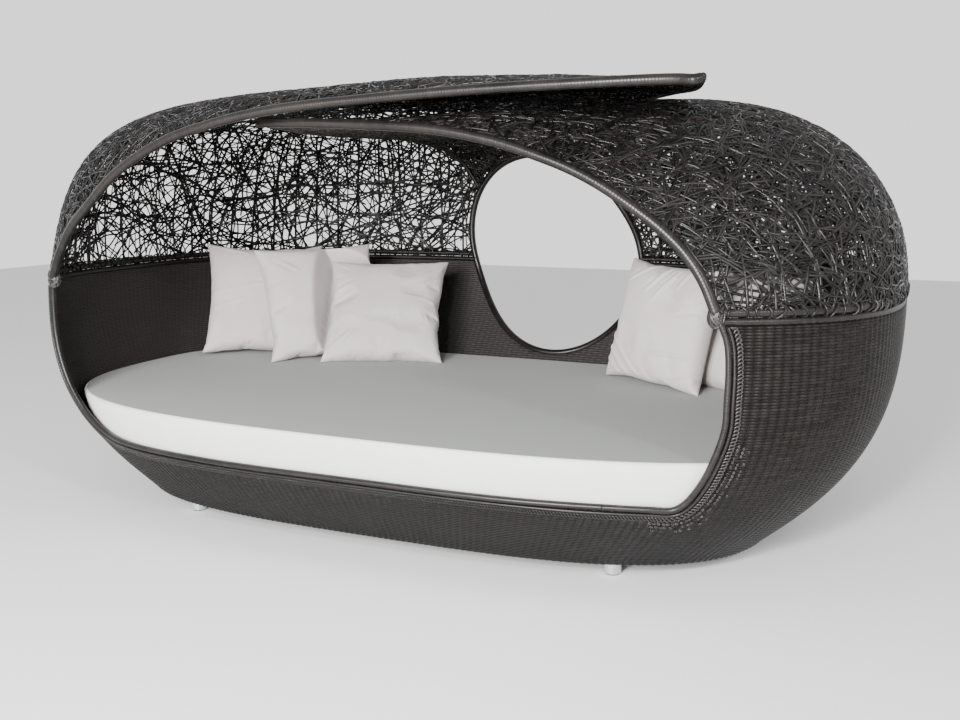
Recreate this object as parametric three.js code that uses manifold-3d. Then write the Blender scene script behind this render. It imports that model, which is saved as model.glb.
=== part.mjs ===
// Outdoor daybed with a woven nest shell and a canopy of two overlapping leaves.
// Millimetres, +Z up, +Y towards the back, +X to the sitter's left as seen from the front.
// The origin lies on the ground under the middle of the whole piece.

import * as THREE from "three";
import { mergeVertices } from "three/addons/utils/BufferGeometryUtils.js";
import Module from "manifold-3d";

const wasm = await Module();
wasm.setup();

// Driving dimensions of the nest shell
const halfLength = 1400;
const halfDepth = 875;
const beltHeight = 740;
const groundClearance = 44;
const shellWall = 14;
const bottomLengthShare = 0.766;
const bottomFrontShare = 0.754;
const bottomBackShare = 0.45;
const bottomRoundnessExponent = 3.23;
const beltRoundnessExponent = 3.03;
const sideFlareExponent = 3.03;
const sideFullnessExponent = 1.13;
const backFlareExponent = 2.05;
const backFullnessExponent = 2.5;

// Driving dimensions of the canopy
const leftLeafHeight = 588;
const rightLeafHeight = 482;
const leafWall = 12;
const leafSpacing = 26;
const roofShare = 0.5;
const crownRoundnessExponent = 1.8;
const leftEndSagShare = 0.017;
const leftTongueSagShare = 0.066;
const leftUpExponent = 4;
const leftOutExponent = 5.8;
const leftOutGainExponent = 10.5;
const rightSwellShare = 0.465;
const rightGatherShare = 0.107;
const rightUpExponent = 2.02;
const rightUpGainExponent = 1.98;
const rightOutExponent = 3.46;
const rightOutGainExponent = 5.04;
const rightEndGainExponent = 16;
const boxyFromAngle = 0.873;
const boxySpanAngle = 0.698;
const boxyExponent = 1.3;
const tuckLiftShares = [0.1, 0.45];
const tuckAcrossShares = [0.33, 0.66];

// Tubes of the frame
const rimRadius = 17;
const rearRimRadius = 10;
const railRadius = 10.85;
const railPitch = 22;
const mouthTubeRadius = 11;
const portholeTubeRadius = 18;
const frameTubeRadius = 12.5;
const ringClearance = 1;
const postRadius = 8;
const postCount = 8;

// Clearances
const gap = 0.3;
const jointGap = 0.6;
const weaveGap = 0.6;
const overrun = 60;
const weldShare = 0.001;

// Porthole in the back wall
const portholeX = 30;
const portholeLift = 46;
const portholeHalfWidth = 322;
const portholeHalfHeight = 398;
const portholeLeanAngle = 0.677;
const portholeBlendShare = 0.6;

// Deck, feet and cushions
const deckHeight = 237;
const deckThickness = 15;
const deckClearance = 0.5;
const deckBeamWidth = 30;
const deckBeamHeight = 20;
const deckBeamSpreadShare = 0.57;
const footSpreadShare = 0.65;
const footSetback = 23;
const footRadius = 25;
const gliderRadius = 21;
const gliderHeight = 4;
const footBeamWidth = 40;
const footBeamHeight = 26;
const footPlateSize = 60;
const footPlateThickness = 4;
const boltRadius = 5;
const boltHeadRadius = 9;
const boltHeadHeight = 6;
const boltDepth = 26;
const mattressThickness = 140;
const mattressInset = 20;
const mattressRoundnessExponent = 2.6;
const mattressEdgeRadius = 12;
const mattressEdgeShare = 0.3;
const mattressCrown = 3;
const mattressCrownInset = 80;
const cushionSize = 476;
const cushionThickness = 160;
const cushionDrawShare = 0.07;
const cushionSwellExponent = 0.42;
const cushionRestShare = 0.2;
const seamPress = 4;
const dentGap = 1;
const liftLength = 160;
const liftForwardShare = 0.6;
const liftUpShare = 0.8;

// Mesh density
const ringSteps = 48;
const wallSteps = 9;
const tubeSides = 8;
const slimSides = 6;
const railSteps = 28;
const frontRimSteps = 46;
const rearRimSteps = 36;
const vaultSteps = 6;
const bisectionPasses = 40;
const hoopSteps = 40;
const boltSides = 12;
const footSides = 20;
const cushionSteps = 10;
const mouthSteps = 84;
const portholeSteps = 96;
const ringArcSteps = 36;

// Finishes
const rattan = new THREE.MeshStandardMaterial({ color: 0x2b2523, roughness: 0.5, metalness: 0 });
const rattanRim = new THREE.MeshStandardMaterial({ color: 0x3a322d, roughness: 0.42, metalness: 0 });
const coatedTube = new THREE.MeshStandardMaterial({ color: 0x2c2c2e, roughness: 0.55, metalness: 0.3 });
const brushedAluminium = new THREE.MeshStandardMaterial({ color: 0xb9bcc0, roughness: 0.35, metalness: 1 });
const blackPlastic = new THREE.MeshStandardMaterial({ color: 0x1a1a1b, roughness: 0.6, metalness: 0 });
const canvasCover = new THREE.MeshStandardMaterial({ color: 0xdfe1da, roughness: 0.9, metalness: 0 });
const cushionCover = new THREE.MeshStandardMaterial({ color: 0xe3dbd2, roughness: 0.92, metalness: 0 });

const daybed = new THREE.Group();

function addPiece(name, geometry, material) {
  geometry.computeVertexNormals();
  const mesh = new THREE.Mesh(geometry, material);
  mesh.name = name;
  daybed.add(mesh);
}

// Solids

function toSolid(geometry) {
  const bare = geometry.index ? geometry.clone() : geometry;
  bare.deleteAttribute("normal");
  bare.deleteAttribute("uv");
  const merged = mergeVertices(bare, weldShare);
  const solid = new wasm.Mesh({
    numProp: 3,
    vertProperties: new Float32Array(merged.attributes.position.array),
    triVerts: new Uint32Array(merged.index.array),
  });
  return new wasm.Manifold(solid);
}

function toGeometry(solid) {
  const mesh = solid.getMesh();
  const geometry = new THREE.BufferGeometry();
  geometry.setAttribute("position", new THREE.BufferAttribute(mesh.vertProperties, 3));
  geometry.setIndex(new THREE.BufferAttribute(mesh.triVerts, 1));
  return geometry;
}

// The piece of a cut body that has the most volume.
function largest(solid) {
  return solid.decompose().sort((a, b) => b.volume() - a.volume())[0];
}

// A stack of closed loops, listed from the bottom up and each counterclockwise seen from above,
// skinned into a closed body with a fan at either end.
function loft(loops) {
  const count = loops[0].length;
  const points = loops.flat();
  const bottom = points.length;
  points.push(centreOf(loops[0]));
  points.push(centreOf(loops[loops.length - 1]));
  const faces = [];
  for (let level = 0; level < loops.length - 1; level += 1) {
    for (let k = 0; k < count; k += 1) {
      const a = level * count + k;
      const b = level * count + (k + 1) % count;
      faces.push(a, b, b + count, a, b + count, a + count);
    }
  }
  const top = (loops.length - 1) * count;
  for (let k = 0; k < count; k += 1) {
    const next = (k + 1) % count;
    faces.push(bottom, next, k);
    faces.push(bottom + 1, top + k, top + next);
  }
  return bodyOf(points, faces);
}

function bodyOf(points, faces) {
  const geometry = new THREE.BufferGeometry().setFromPoints(points);
  geometry.setIndex(faces);
  return geometry;
}

function centreOf(loop) {
  const sum = new THREE.Vector3();
  loop.forEach((point) => sum.add(point));
  return sum.divideScalar(loop.length);
}

// A round tube along an open curve, with flat ends square to it.
function tube(curve, radius, steps, sides = tubeSides) {
  const section = new THREE.Shape();
  for (let k = 0; k < sides; k += 1) {
    const turn = 2 * Math.PI * k / sides;
    const x = radius * Math.cos(turn);
    const y = radius * Math.sin(turn);
    if (k === 0) {
      section.moveTo(x, y);
    } else {
      section.lineTo(x, y);
    }
  }
  section.closePath();
  return new THREE.ExtrudeGeometry(section, { steps, extrudePath: curve, bevelEnabled: false });
}

// A closed tube round a level loop of points.
function hoop(loop, radius, sides = tubeSides) {
  const count = loop.length;
  const points = [];
  loop.forEach((point, k) => {
    const ahead = loop[(k + 1) % count];
    const behind = loop[(k + count - 1) % count];
    const outward = new THREE.Vector3(ahead.y - behind.y, behind.x - ahead.x, 0).normalize();
    for (let side = 0; side < sides; side += 1) {
      const turn = 2 * Math.PI * side / sides;
      const spot = point.clone().addScaledVector(outward, radius * Math.cos(turn));
      spot.z += radius * Math.sin(turn);
      points.push(spot);
    }
  });
  const faces = [];
  for (let k = 0; k < count; k += 1) {
    for (let side = 0; side < sides; side += 1) {
      const a = k * sides + side;
      const b = k * sides + (side + 1) % sides;
      const c = ((k + 1) % count) * sides + side;
      const d = ((k + 1) % count) * sides + (side + 1) % sides;
      faces.push(a, c, d, a, d, b);
    }
  }
  return bodyOf(points, faces);
}

function box(width, depth, height, x, y, bottom) {
  return new THREE.BoxGeometry(width, depth, height).translate(x, y, bottom + height / 2);
}

// All the space above a height, or all below it.
function slab(height, above) {
  const deep = 2 * halfLength;
  return toSolid(box(4 * halfLength, 4 * halfDepth, deep, 0, 0, above ? height : height - deep));
}

function disc(radius, height, x, y, bottom, sides) {
  const upright = new THREE.CylinderGeometry(radius, radius, height, sides).rotateX(Math.PI / 2);
  return upright.translate(x, y, bottom + height / 2);
}

// A prism whose outline lies in the plane of the axes across and up, long in both directions.
function prism(outline, across, up) {
  const along = new THREE.Vector3().crossVectors(across, up);
  const depth = 8 * halfDepth;
  const shape = new THREE.Shape(outline.map(([u, v]) => new THREE.Vector2(u, v)));
  const body = new THREE.ExtrudeGeometry(shape, { depth, bevelEnabled: false, steps: 1 });
  body.translate(0, 0, -depth / 2);
  const frame = new THREE.Matrix4().makeBasis(across, up, along);
  return toSolid(body.applyMatrix4(frame));
}

// The parallel of a line of [u, v] points, at a distance to its left.
function parallel(line, distance, closed = false) {
  const last = line.length - 1;
  return line.map((point, k) => {
    const ahead = line[k < last ? k + 1 : closed ? 0 : last];
    const behind = line[k > 0 ? k - 1 : closed ? last : 0];
    const run = new THREE.Vector2(ahead[0] - behind[0], ahead[1] - behind[1]).normalize();
    return [point[0] - run.y * distance, point[1] + run.x * distance];
  });
}

// Nest shell: plan loops are superellipses whose half length and half depths grow with height

function rise(height) {
  return THREE.MathUtils.clamp((height - groundClearance) / (beltHeight - groundClearance), 0, 1);
}

function swell(height, flare, fullness) {
  return (1 - (1 - rise(height)) ** flare) ** fullness;
}

function nestPlan(height, inset) {
  const side = swell(height, sideFlareExponent, sideFullnessExponent);
  const back = swell(height, backFlareExponent, backFullnessExponent);
  return {
    length: halfLength * (bottomLengthShare + (1 - bottomLengthShare) * side) - inset,
    front: halfDepth * (bottomFrontShare + (1 - bottomFrontShare) * side) - inset,
    back: halfDepth * (bottomBackShare + (1 - bottomBackShare) * back) - inset,
    roundness: bottomRoundnessExponent + (beltRoundnessExponent - bottomRoundnessExponent) * rise(height),
  };
}

function onPlan(plan, turn, height) {
  const c = Math.cos(turn);
  const s = Math.sin(turn);
  const reach = (Math.abs(c) ** plan.roundness + Math.abs(s) ** plan.roundness) ** (-1 / plan.roundness);
  const depth = s < 0 ? plan.front : plan.back;
  return new THREE.Vector3(plan.length * reach * c, depth * reach * s, height);
}

function nestLoop(height, inset, steps = ringSteps) {
  const plan = nestPlan(height, inset);
  return around(steps, (turn) => onPlan(plan, turn, height));
}

function around(steps, point) {
  return Array.from({ length: steps }, (unused, k) => point(2 * Math.PI * k / steps));
}

function levels(low, high, steps) {
  return Array.from({ length: steps + 1 }, (unused, k) => low + (high - low) * k / steps);
}

// The depth of the nest wall at a place across and up, on its front or its back.
function nestDepth(x, height, inset, side) {
  const plan = nestPlan(height, inset);
  const share = Math.min(Math.abs(x) / plan.length, 1);
  const depth = (1 - share ** plan.roundness) ** (1 / plan.roundness);
  return side < 0 ? -plan.front * depth : plan.back * depth;
}

// Canopy leaves: the left one is half a superellipsoid that runs on as a straight vault to the
// right, and the right one is a superellipsoid that goes under it

const canopyBase = beltHeight + railPitch;
const canopyFloor = canopyBase + railRadius + gap;
const nestTop = beltHeight - railRadius - gap;

const leftLeaf = {
  vaulted: true,
  tuck: 0,
  height: (x) => leftLeafHeight * (1 - (x > 0 ? leftTongueSagShare : -leftEndSagShare) * x / halfLength),
  up: () => leftUpExponent,
  out: (x) => leftOutExponent + leftOutGainExponent * Math.max(x, 0) / halfLength,
};

const rightLeaf = {
  vaulted: false,
  tuck: leafSpacing,
  height: (x) => rightLeafHeight * (1 + rightSwellShare * gather(Math.max(x, 0) / halfLength)),
  up: (x, turn) => rightUpExponent + rightUpGainExponent * boxiness(turn),
  out: (x, turn) => {
    return rightOutExponent + rightOutGainExponent * boxiness(turn) + rightEndGainExponent * Math.max(-Math.cos(turn), 0);
  },
};

function gather(share) {
  return share * share / (share + rightGatherShare);
}

// 0 round the right end of the shell, 1 from its middle to the left.
function boxiness(turn) {
  const across = Math.atan2(Math.abs(Math.sin(turn)), Math.max(Math.cos(turn), 0));
  return (Math.max(across - boxyFromAngle, 0) / boxySpanAngle) ** boxyExponent;
}

// The leaf is drawn in below its neighbour at the back, above the belt.
function tuckOf(leaf, x, y, lift) {
  const high = THREE.MathUtils.smoothstep(lift, ...tuckLiftShares);
  const near = 1 - THREE.MathUtils.smoothstep(x / halfLength, ...tuckAcrossShares);
  return y > 0 ? leaf.tuck * high * near : 0;
}

function leafPoint(leaf, turn, lift, inset) {
  const taper = (1 - lift ** leaf.up(0, turn)) ** (1 / leaf.out(0, turn));
  const roundness = beltRoundnessExponent + (crownRoundnessExponent - beltRoundnessExponent) * lift;
  const c = Math.cos(turn);
  const s = Math.sin(turn);
  const reach = taper * (Math.abs(c) ** roundness + Math.abs(s) ** roundness) ** (-1 / roundness);
  return raise(leaf, (halfLength - inset) * reach * c, (halfDepth - inset) * reach * s, lift, inset);
}

function vaultPoint(leaf, x, side, lift, inset) {
  const taper = (1 - lift ** leaf.up(x, Math.PI / 2)) ** (1 / leaf.out(x, Math.PI / 2));
  return raise(leaf, x, side * (halfDepth - inset) * taper, lift, inset);
}

function raise(leaf, x, y, lift, inset) {
  const drawnIn = y - tuckOf(leaf, x, y, lift);
  return new THREE.Vector3(x, drawnIn, canopyBase + lift * (leaf.height(x) - inset));
}

// One loop of a leaf at a share of its height. A vaulted leaf has its rounded end at the left and
// runs out along the vault and back.
function leafLoop(leaf, lift, inset) {
  if (!leaf.vaulted) {
    return around(ringSteps, (turn) => leafPoint(leaf, turn, lift, inset));
  }
  const half = ringSteps / 2;
  const end = levels(Math.PI / 2, 3 * Math.PI / 2, half).map((turn) => leafPoint(leaf, turn, lift, inset));
  const places = levels(0, vaultReach(), vaultSteps).slice(1);
  const out = places.map((x) => vaultPoint(leaf, x, -1, lift, inset));
  const back = places.reverse().map((x) => vaultPoint(leaf, x, 1, lift, inset));
  return [...end, ...out, ...back];
}

// How far the vault of the left leaf runs to the right: past the tip of its rims.
function vaultReach() {
  return halfLength * Math.max(...leftFrontShares.map(([xShare]) => xShare)) + 2 * rimRadius;
}

const liftShares = [0, 0.2, 0.4, 0.55, 0.68, 0.8, 0.89, 0.95, 0.982, 0.9965, 0.9998];

function leafBody(leaf, inset) {
  return toSolid(loft(liftShares.map((lift) => leafLoop(leaf, lift, inset))));
}

// The point of a leaf's wall in the section at x, seen from the belt's middle at an angle
// given as a share of the half turn from back to front.
function onLeaf(leaf, x, angleShare, inset) {
  const c = Math.cos(Math.PI * angleShare);
  const s = Math.sin(Math.PI * angleShare);
  let near = 0;
  let far = 2 * halfDepth;
  for (let pass = 0; pass < bisectionPasses; pass += 1) {
    const middle = (near + far) / 2;
    if (insideLeaf(leaf, x, middle * c, middle * s, inset)) {
      near = middle;
    } else {
      far = middle;
    }
  }
  return new THREE.Vector3(x, near * c, canopyBase + near * s);
}

function insideLeaf(leaf, x, y, height, inset) {
  const lift = height / (leaf.height(x) - inset);
  if (lift >= 1) {
    return false;
  }
  const spread = y + tuckOf(leaf, x, y, lift);
  const v = Math.abs(spread) / (halfDepth - inset);
  const u = leaf.vaulted && x > 0 ? 0 : x / (halfLength - inset);
  const turn = Math.atan2(v, u);
  const taper = (1 - lift ** leaf.up(x, turn)) ** (1 / leaf.out(x, turn));
  const roundness = beltRoundnessExponent + (crownRoundnessExponent - beltRoundnessExponent) * lift;
  return (Math.abs(u) / taper) ** roundness + (v / taper) ** roundness < 1;
}

// Rims, each point a share of the half length and a share of the half turn over the canopy

const leftFrontShares = [
  [-0.82, 1], [-0.789, 0.969], [-0.729, 0.928], [-0.651, 0.899], [-0.564, 0.8655], [-0.429, 0.836],
  [-0.313, 0.8235], [-0.204, 0.815], [-0.0986, 0.81], [0, 0.806], [0.221, 0.802], [0.443, 0.7995],
  [0.614, 0.798], [0.662, 0.793], [0.682, 0.782], [0.68, 0.768],
];
const leftRearShares = [
  [0.675, 0.76], [0.645, 0.73], [0.607, 0.681], [0.529, 0.567], [0.429, 0.418], [0.336, 0.289],
  [0.279, 0.213], [0.25, 0.159], [0.229, 0.11], [0.207, 0.06], [0.18, 0.02],
];
const rightFrontShares = [
  [0.714, 1], [0.691, 0.9695], [0.663, 0.9455], [0.619, 0.9205], [0.561, 0.897], [0.502, 0.877],
  [0.443, 0.862], [0.379, 0.8505], [0.314, 0.8405], [0.246, 0.833], [0.179, 0.827], [0.1, 0.822],
  [0, 0.8155], [-0.107, 0.811], [-0.186, 0.806], [-0.245, 0.797], [-0.27, 0.782],
];
const rightRearShares = [
  [-0.278, 0.77], [-0.314, 0.738], [-0.379, 0.625], [-0.429, 0.5], [-0.443, 0.348], [-0.414, 0.258],
  [-0.343, 0.203], [-0.264, 0.157], [-0.214, 0.109], [-0.186, 0.07], [-0.16, 0.03],
];

function rimLine(leaf, shares) {
  return shares.map(([xShare, angleShare]) => onLeaf(leaf, xShare * halfLength, angleShare, leafWall / 2));
}

const smooth = (points) => new THREE.CatmullRomCurve3(points, false, "centripetal");

const leftFrontLine = smooth(rimLine(leftLeaf, leftFrontShares)).getSpacedPoints(frontRimSteps);
const leftRearLine = smooth(rimLine(leftLeaf, leftRearShares)).getSpacedPoints(rearRimSteps);
const rightFrontLine = smooth(rimLine(rightLeaf, rightFrontShares)).getSpacedPoints(frontRimSteps);
const rightRearLine = smooth(rimLine(rightLeaf, rightRearShares)).getSpacedPoints(rearRimSteps);

// Sections that cut the leaves look along a slope: forward and down for the front rims, back and
// down for the rear ones, so that the cut meets both wall and roof squarely.
const acrossAxis = new THREE.Vector3(1, 0, 0);
const frontUpAxis = new THREE.Vector3(0, 1, 1).normalize();
const rearUpAxis = new THREE.Vector3(0, -1, 1).normalize();
const zAxis = new THREE.Vector3(0, 0, 1);

function flatten(line, upAxis) {
  return line.map((point) => [point.x, point.dot(upAxis)]);
}

// Everything beyond the rims of a leaf, seen along the front slope: past the front rim, round the
// tip, and past the rear rim as far as the roof goes.
function frontCutter(frontLine, rearLine, side) {
  const roof = rearLine.filter((point) => point.y < roofShare * halfDepth);
  const front = parallel(flatten(frontLine, frontUpAxis), side * (rimRadius + weaveGap));
  const rear = parallel(flatten(roof, frontUpAxis), side * (rearRimRadius + weaveGap));
  const far = side * 2 * halfLength;
  const last = rear[rear.length - 1];
  const outline = [...front, ...rear, [far, last[1]], [far, -2 * halfLength], [front[0][0], -2 * halfLength]];
  return prism(outline, acrossAxis, frontUpAxis);
}

// Everything past the rear rim, seen along the rear slope.
function rearCutter(line, side) {
  const edge = parallel(flatten(line, rearUpAxis), -side * (rearRimRadius + weaveGap));
  const far = side * 2 * halfLength;
  const foot = edge[edge.length - 1];
  const outline = [[far, edge[0][1]], ...edge, [foot[0], -2 * halfLength], [far, -2 * halfLength]];
  return prism(outline, acrossAxis, rearUpAxis);
}

// Porthole

function portholeOutline(distance) {
  const middle = around(portholeSteps, (turn) => portholePoint(turn, portholeTubeRadius));
  return parallel(middle.map((point) => [point.x, point.z]), -distance, true);
}

function portholePoint(turn, grow) {
  const u = (portholeHalfWidth + grow) * Math.cos(turn);
  const v = (portholeHalfHeight + grow) * Math.sin(turn);
  const x = portholeX + u * Math.cos(portholeLeanAngle) - v * Math.sin(portholeLeanAngle);
  const z = (beltHeight + portholeLift) + u * Math.sin(portholeLeanAngle) + v * Math.cos(portholeLeanAngle);
  return new THREE.Vector3(x, 0, z);
}

// The back wall at a place across and up: the nest below the belt, the leaves above it.
function backWall(x, height) {
  if (height < beltHeight) {
    return nestDepth(x, height, shellWall / 2, 1);
  }
  const outer = leafDepth(leftLeaf, x, height);
  const inner = leafDepth(rightLeaf, x, height);
  const share = THREE.MathUtils.smoothstep(x, -portholeBlendShare * portholeHalfWidth, portholeHalfWidth);
  return outer + (inner - outer) * share;
}

function leafDepth(leaf, x, height) {
  const lift = Math.max(height - canopyBase, 0);
  let near = 0;
  let far = halfDepth;
  for (let pass = 0; pass < bisectionPasses; pass += 1) {
    const middle = (near + far) / 2;
    if (insideLeaf(leaf, x, middle, lift, leafWall / 2)) {
      near = middle;
    } else {
      far = middle;
    }
  }
  return near;
}

function portholeRingPoint(turn) {
  const point = portholePoint(turn, portholeTubeRadius);
  point.y = backWall(point.x, point.z);
  return point;
}

const backOnly = toSolid(box(4 * halfLength, 2 * halfDepth, 4 * halfLength, 0, halfDepth, -halfLength));
const portholeEdge = portholeOutline(portholeTubeRadius + weaveGap);
const portholeHole = prism(portholeEdge, acrossAxis, zAxis).intersect(backOnly);

// Turn of the porthole ring at which it crosses the belt, on one side.
function beltCrossing(low, high) {
  let a = low;
  let b = high;
  for (let pass = 0; pass < bisectionPasses; pass += 1) {
    const middle = (a + b) / 2;
    const above = portholePoint(middle, portholeTubeRadius).z > beltHeight + railPitch / 2;
    if (above) {
      b = middle;
    } else {
      a = middle;
    }
  }
  return a;
}

// Mouth of the nest, each point a share of the half length and of the belt height

const mouthShares = [
  [-0.827, 1.0], [-0.834, 0.93], [-0.837, 0.811], [-0.827, 0.696], [-0.808, 0.59], [-0.783, 0.509],
  [-0.744, 0.426], [-0.679, 0.36], [-0.6, 0.339], [-0.36, 0.336], [0, 0.337], [0.36, 0.336],
  [0.6, 0.34], [0.655, 0.359], [0.696, 0.447], [0.717, 0.54], [0.734, 0.646], [0.737, 0.743],
  [0.738, 0.838], [0.734, 0.932], [0.722, 1.0],
];

const lipStartShare = 0.27;
const lipEndShare = 0.76;

function mouthPoint([xShare, heightShare]) {
  const x = xShare * halfLength;
  const z = heightShare * beltHeight;
  return new THREE.Vector3(x, nestDepth(x, z, shellWall / 2, -1), z);
}

const mouthLine = smooth(mouthShares.map(mouthPoint)).getSpacedPoints(mouthSteps);

// A tube along part of a line of points, its far end drawn back by the gap of a joint.
function stretch(line, radius, drawnBack) {
  const points = line.slice();
  const last = points.length - 1;
  if (drawnBack) {
    const run = points[last - 1].clone().sub(points[last]).normalize();
    points[last] = points[last].clone().addScaledVector(run, jointGap);
  }
  return tube(smooth(points), radius, last);
}

function buildMouth() {
  const left = Math.round(lipStartShare * mouthSteps);
  const right = Math.round(lipEndShare * mouthSteps);
  const above = slab(nestTop, true);
  const leftTube = toSolid(stretch(mouthLine.slice(0, left + 1), mouthTubeRadius, true));
  const rightTube = toSolid(stretch(mouthLine.slice(right).reverse(), mouthTubeRadius, true));
  addPiece("mouth_edge_left", toGeometry(leftTube.subtract(above)), rattanRim);
  addPiece("lip_rail", stretch(mouthLine.slice(left, right + 1), mouthTubeRadius, false), rattanRim);
  addPiece("mouth_edge_right", toGeometry(rightTube.subtract(above)), rattanRim);
}

const nestLevels = levels(groundClearance, nestTop, wallSteps);

function buildNest() {
  const outer = nestLevels.map((height) => nestLoop(height, 0));
  const inner = nestLevels.map((height) => nestLoop(height, shellWall));
  inner.unshift(nestLoop(groundClearance, shellWall).map((point) => lowered(point, overrun)));
  inner.push(nestLoop(nestTop, shellWall).map((point) => lowered(point, -overrun)));
  const wall = toSolid(loft(outer)).subtract(toSolid(loft(inner)));
  const edge = parallel(mouthLine.map((point) => [point.x, point.z]), -(mouthTubeRadius + weaveGap));
  const last = edge.length - 1;
  const outline = [...edge, [edge[last][0], 2 * beltHeight], [edge[0][0], 2 * beltHeight]];
  const frontOnly = toSolid(box(4 * halfLength, 2 * halfDepth, 4 * halfLength, 0, -halfDepth, -halfLength));
  const mouth = prism(outline, acrossAxis, zAxis).intersect(frontOnly);
  addPiece("nest_shell", toGeometry(wall.subtract(mouth).subtract(portholeHole)), rattan);
}

function lowered(point, distance) {
  return new THREE.Vector3(point.x, point.y, point.z - distance);
}

// Belt rails: each runs from the mouth round one end of the shell to the porthole

function railCurve(height, inset, from, to) {
  const plan = nestPlan(beltHeight, inset);
  return smooth(levels(from, to, railSteps).map((turn) => onPlan(plan, turn, height)));
}

function buildRail(name, height, from, to) {
  const rail = toSolid(tube(railCurve(height, railRadius, from, to), railRadius, railSteps, slimSides));
  addPiece(name, toGeometry(rail.subtract(portholeHole)), rattanRim);
}

// Turn of the plan loop at a place across, on the front.
function frontTurn(x) {
  const y = nestDepth(x, beltHeight, railRadius, -1);
  return Math.atan2(y / (halfDepth - railRadius), x / (halfLength - railRadius));
}

function buildRails() {
  const left = frontTurn(leftFrontShares[0][0] * halfLength + rimRadius);
  const right = frontTurn(rightFrontShares[0][0] * halfLength - rimRadius);
  const back = Math.PI / 2;
  buildRail("lower_belt_rail_left", beltHeight, left + 2 * Math.PI, back);
  buildRail("upper_belt_rail_left", canopyBase, left + 2 * Math.PI, back);
  buildRail("lower_belt_rail_right", beltHeight, right, back);
  buildRail("upper_belt_rail_right", canopyBase, right, back);
}

function buildPortholeRing() {
  const right = beltCrossing(-Math.PI / 2, Math.PI / 2);
  const left = beltCrossing(3 * Math.PI / 2, Math.PI / 2);
  const over = overrun / portholeHalfHeight;
  const upper = smooth(levels(right - over, left + over, ringArcSteps).map(portholeRingPoint));
  const low = levels(left - over, right + 2 * Math.PI + over, ringArcSteps);
  const lower = smooth(low.map(portholeRingPoint));
  const upperTube = toSolid(tube(upper, portholeTubeRadius, ringArcSteps));
  const lowerTube = toSolid(tube(lower, portholeTubeRadius, ringArcSteps));
  const middle = beltHeight + railPitch / 2;
  addPiece("porthole_ring_upper", toGeometry(upperTube.subtract(slab(middle + gap / 2, false))), rattanRim);
  addPiece("porthole_ring_lower", toGeometry(lowerTube.subtract(slab(middle - gap / 2, true))), rattanRim);
}

// Canopy

function buildLeaf(name, leaf, frontLine, rearLine) {
  const below = slab(canopyFloor, false);
  const side = leaf.vaulted ? 1 : -1;
  let body = leafBody(leaf, 0).subtract(leafBody(leaf, leafWall));
  const cutters = [below, frontCutter(frontLine, rearLine, side), rearCutter(rearLine, side), portholeHole];
  cutters.forEach((cutter) => {
    body = body.subtract(cutter);
  });
  addPiece(name, toGeometry(body), rattan);
}

function buildRim(name, line, radius, trimFoot) {
  const rim = toSolid(tube(smooth(line), radius, line.length - 1));
  const below = slab(canopyFloor, false);
  const cutter = trimFoot ? below : portholeHole;
  addPiece(name, toGeometry(rim.subtract(cutter)), rattanRim);
}

function buildCanopy() {
  buildLeaf("canopy_leaf_left", leftLeaf, leftFrontLine, leftRearLine);
  buildLeaf("canopy_leaf_right", rightLeaf, rightFrontLine, rightRearLine);
  buildRim("left_leaf_front_rim", leftFrontLine, rimRadius, true);
  buildRim("left_leaf_rear_rim", leftRearLine, rearRimRadius, false);
  buildRim("right_leaf_front_rim", rightFrontLine, rimRadius, true);
  buildRim("right_leaf_rear_rim", rightRearLine, rearRimRadius, false);
}

// Chassis: a base ring and a deck ring of tube, posts between them, and beams across both

const baseRingHeight = groundClearance + frameTubeRadius;
const deckBottom = deckHeight - deckThickness;
const deckRingHeight = deckBottom - gap - frameTubeRadius;

// How far the back wall bows in between the two rings, past the straight line of a post.
function wallBow() {
  const depth = (height) => nestPlan(height, 0).back;
  const heights = levels(baseRingHeight, deckRingHeight, wallSteps);
  const bows = heights.map((height, k) => {
    const straight = depth(baseRingHeight) + (depth(deckRingHeight) - depth(baseRingHeight)) * k / wallSteps;
    return straight - depth(height);
  });
  return Math.max(...bows);
}

const ringInset = shellWall + frameTubeRadius + ringClearance + wallBow();

function hoopLine(height) {
  return nestLoop(height, ringInset, hoopSteps);
}

function buildChassis() {
  const baseLine = hoopLine(baseRingHeight);
  const deckLine = hoopLine(deckRingHeight);
  addPiece("base_ring", hoop(baseLine, frameTubeRadius), coatedTube);
  addPiece("deck_ring", hoop(deckLine, frameTubeRadius), coatedTube);
  const rings = [toSolid(hoop(baseLine, frameTubeRadius + gap))];
  rings.push(toSolid(hoop(deckLine, frameTubeRadius + gap)));
  for (let k = 0; k < postCount; k += 1) {
    const place = Math.round((k + 0.5) * hoopSteps / postCount);
    const run = new THREE.LineCurve3(baseLine[place], deckLine[place]);
    const post = toSolid(tube(run, postRadius, 1, slimSides));
    addPiece(`frame_post_${k + 1}`, toGeometry(post.subtract(rings[0]).subtract(rings[1])), coatedTube);
  }
  const names = ["left", "middle", "right"];
  names.forEach((name, k) => {
    const height = deckBottom - gap - deckBeamHeight / 2;
    const x = (k - 1) * deckBeamSpreadShare * nestPlan(height, ringInset).length;
    const beam = crossBeam(x, height, deckBeamWidth, deckBeamHeight);
    addPiece(`deck_beam_${name}`, toGeometry(largest(beam.subtract(rings[1]))), coatedTube);
  });
}

// A bar from front to back, its ends on the middle line of a ring.
function crossBeam(x, height, width, tall) {
  const front = nestDepth(x, height, ringInset, -1);
  const back = nestDepth(x, height, ringInset, 1);
  return toSolid(box(width, back - front, tall, x, (front + back) / 2, height - tall / 2));
}

function buildDeck() {
  const within = toSolid(loft(nestLevels.map((height) => nestLoop(height, shellWall + deckClearance))));
  addPiece("deck_panel", toGeometry(within.subtract(slab(deckBottom, false)).subtract(slab(deckHeight, true))), rattan);
}

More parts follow.
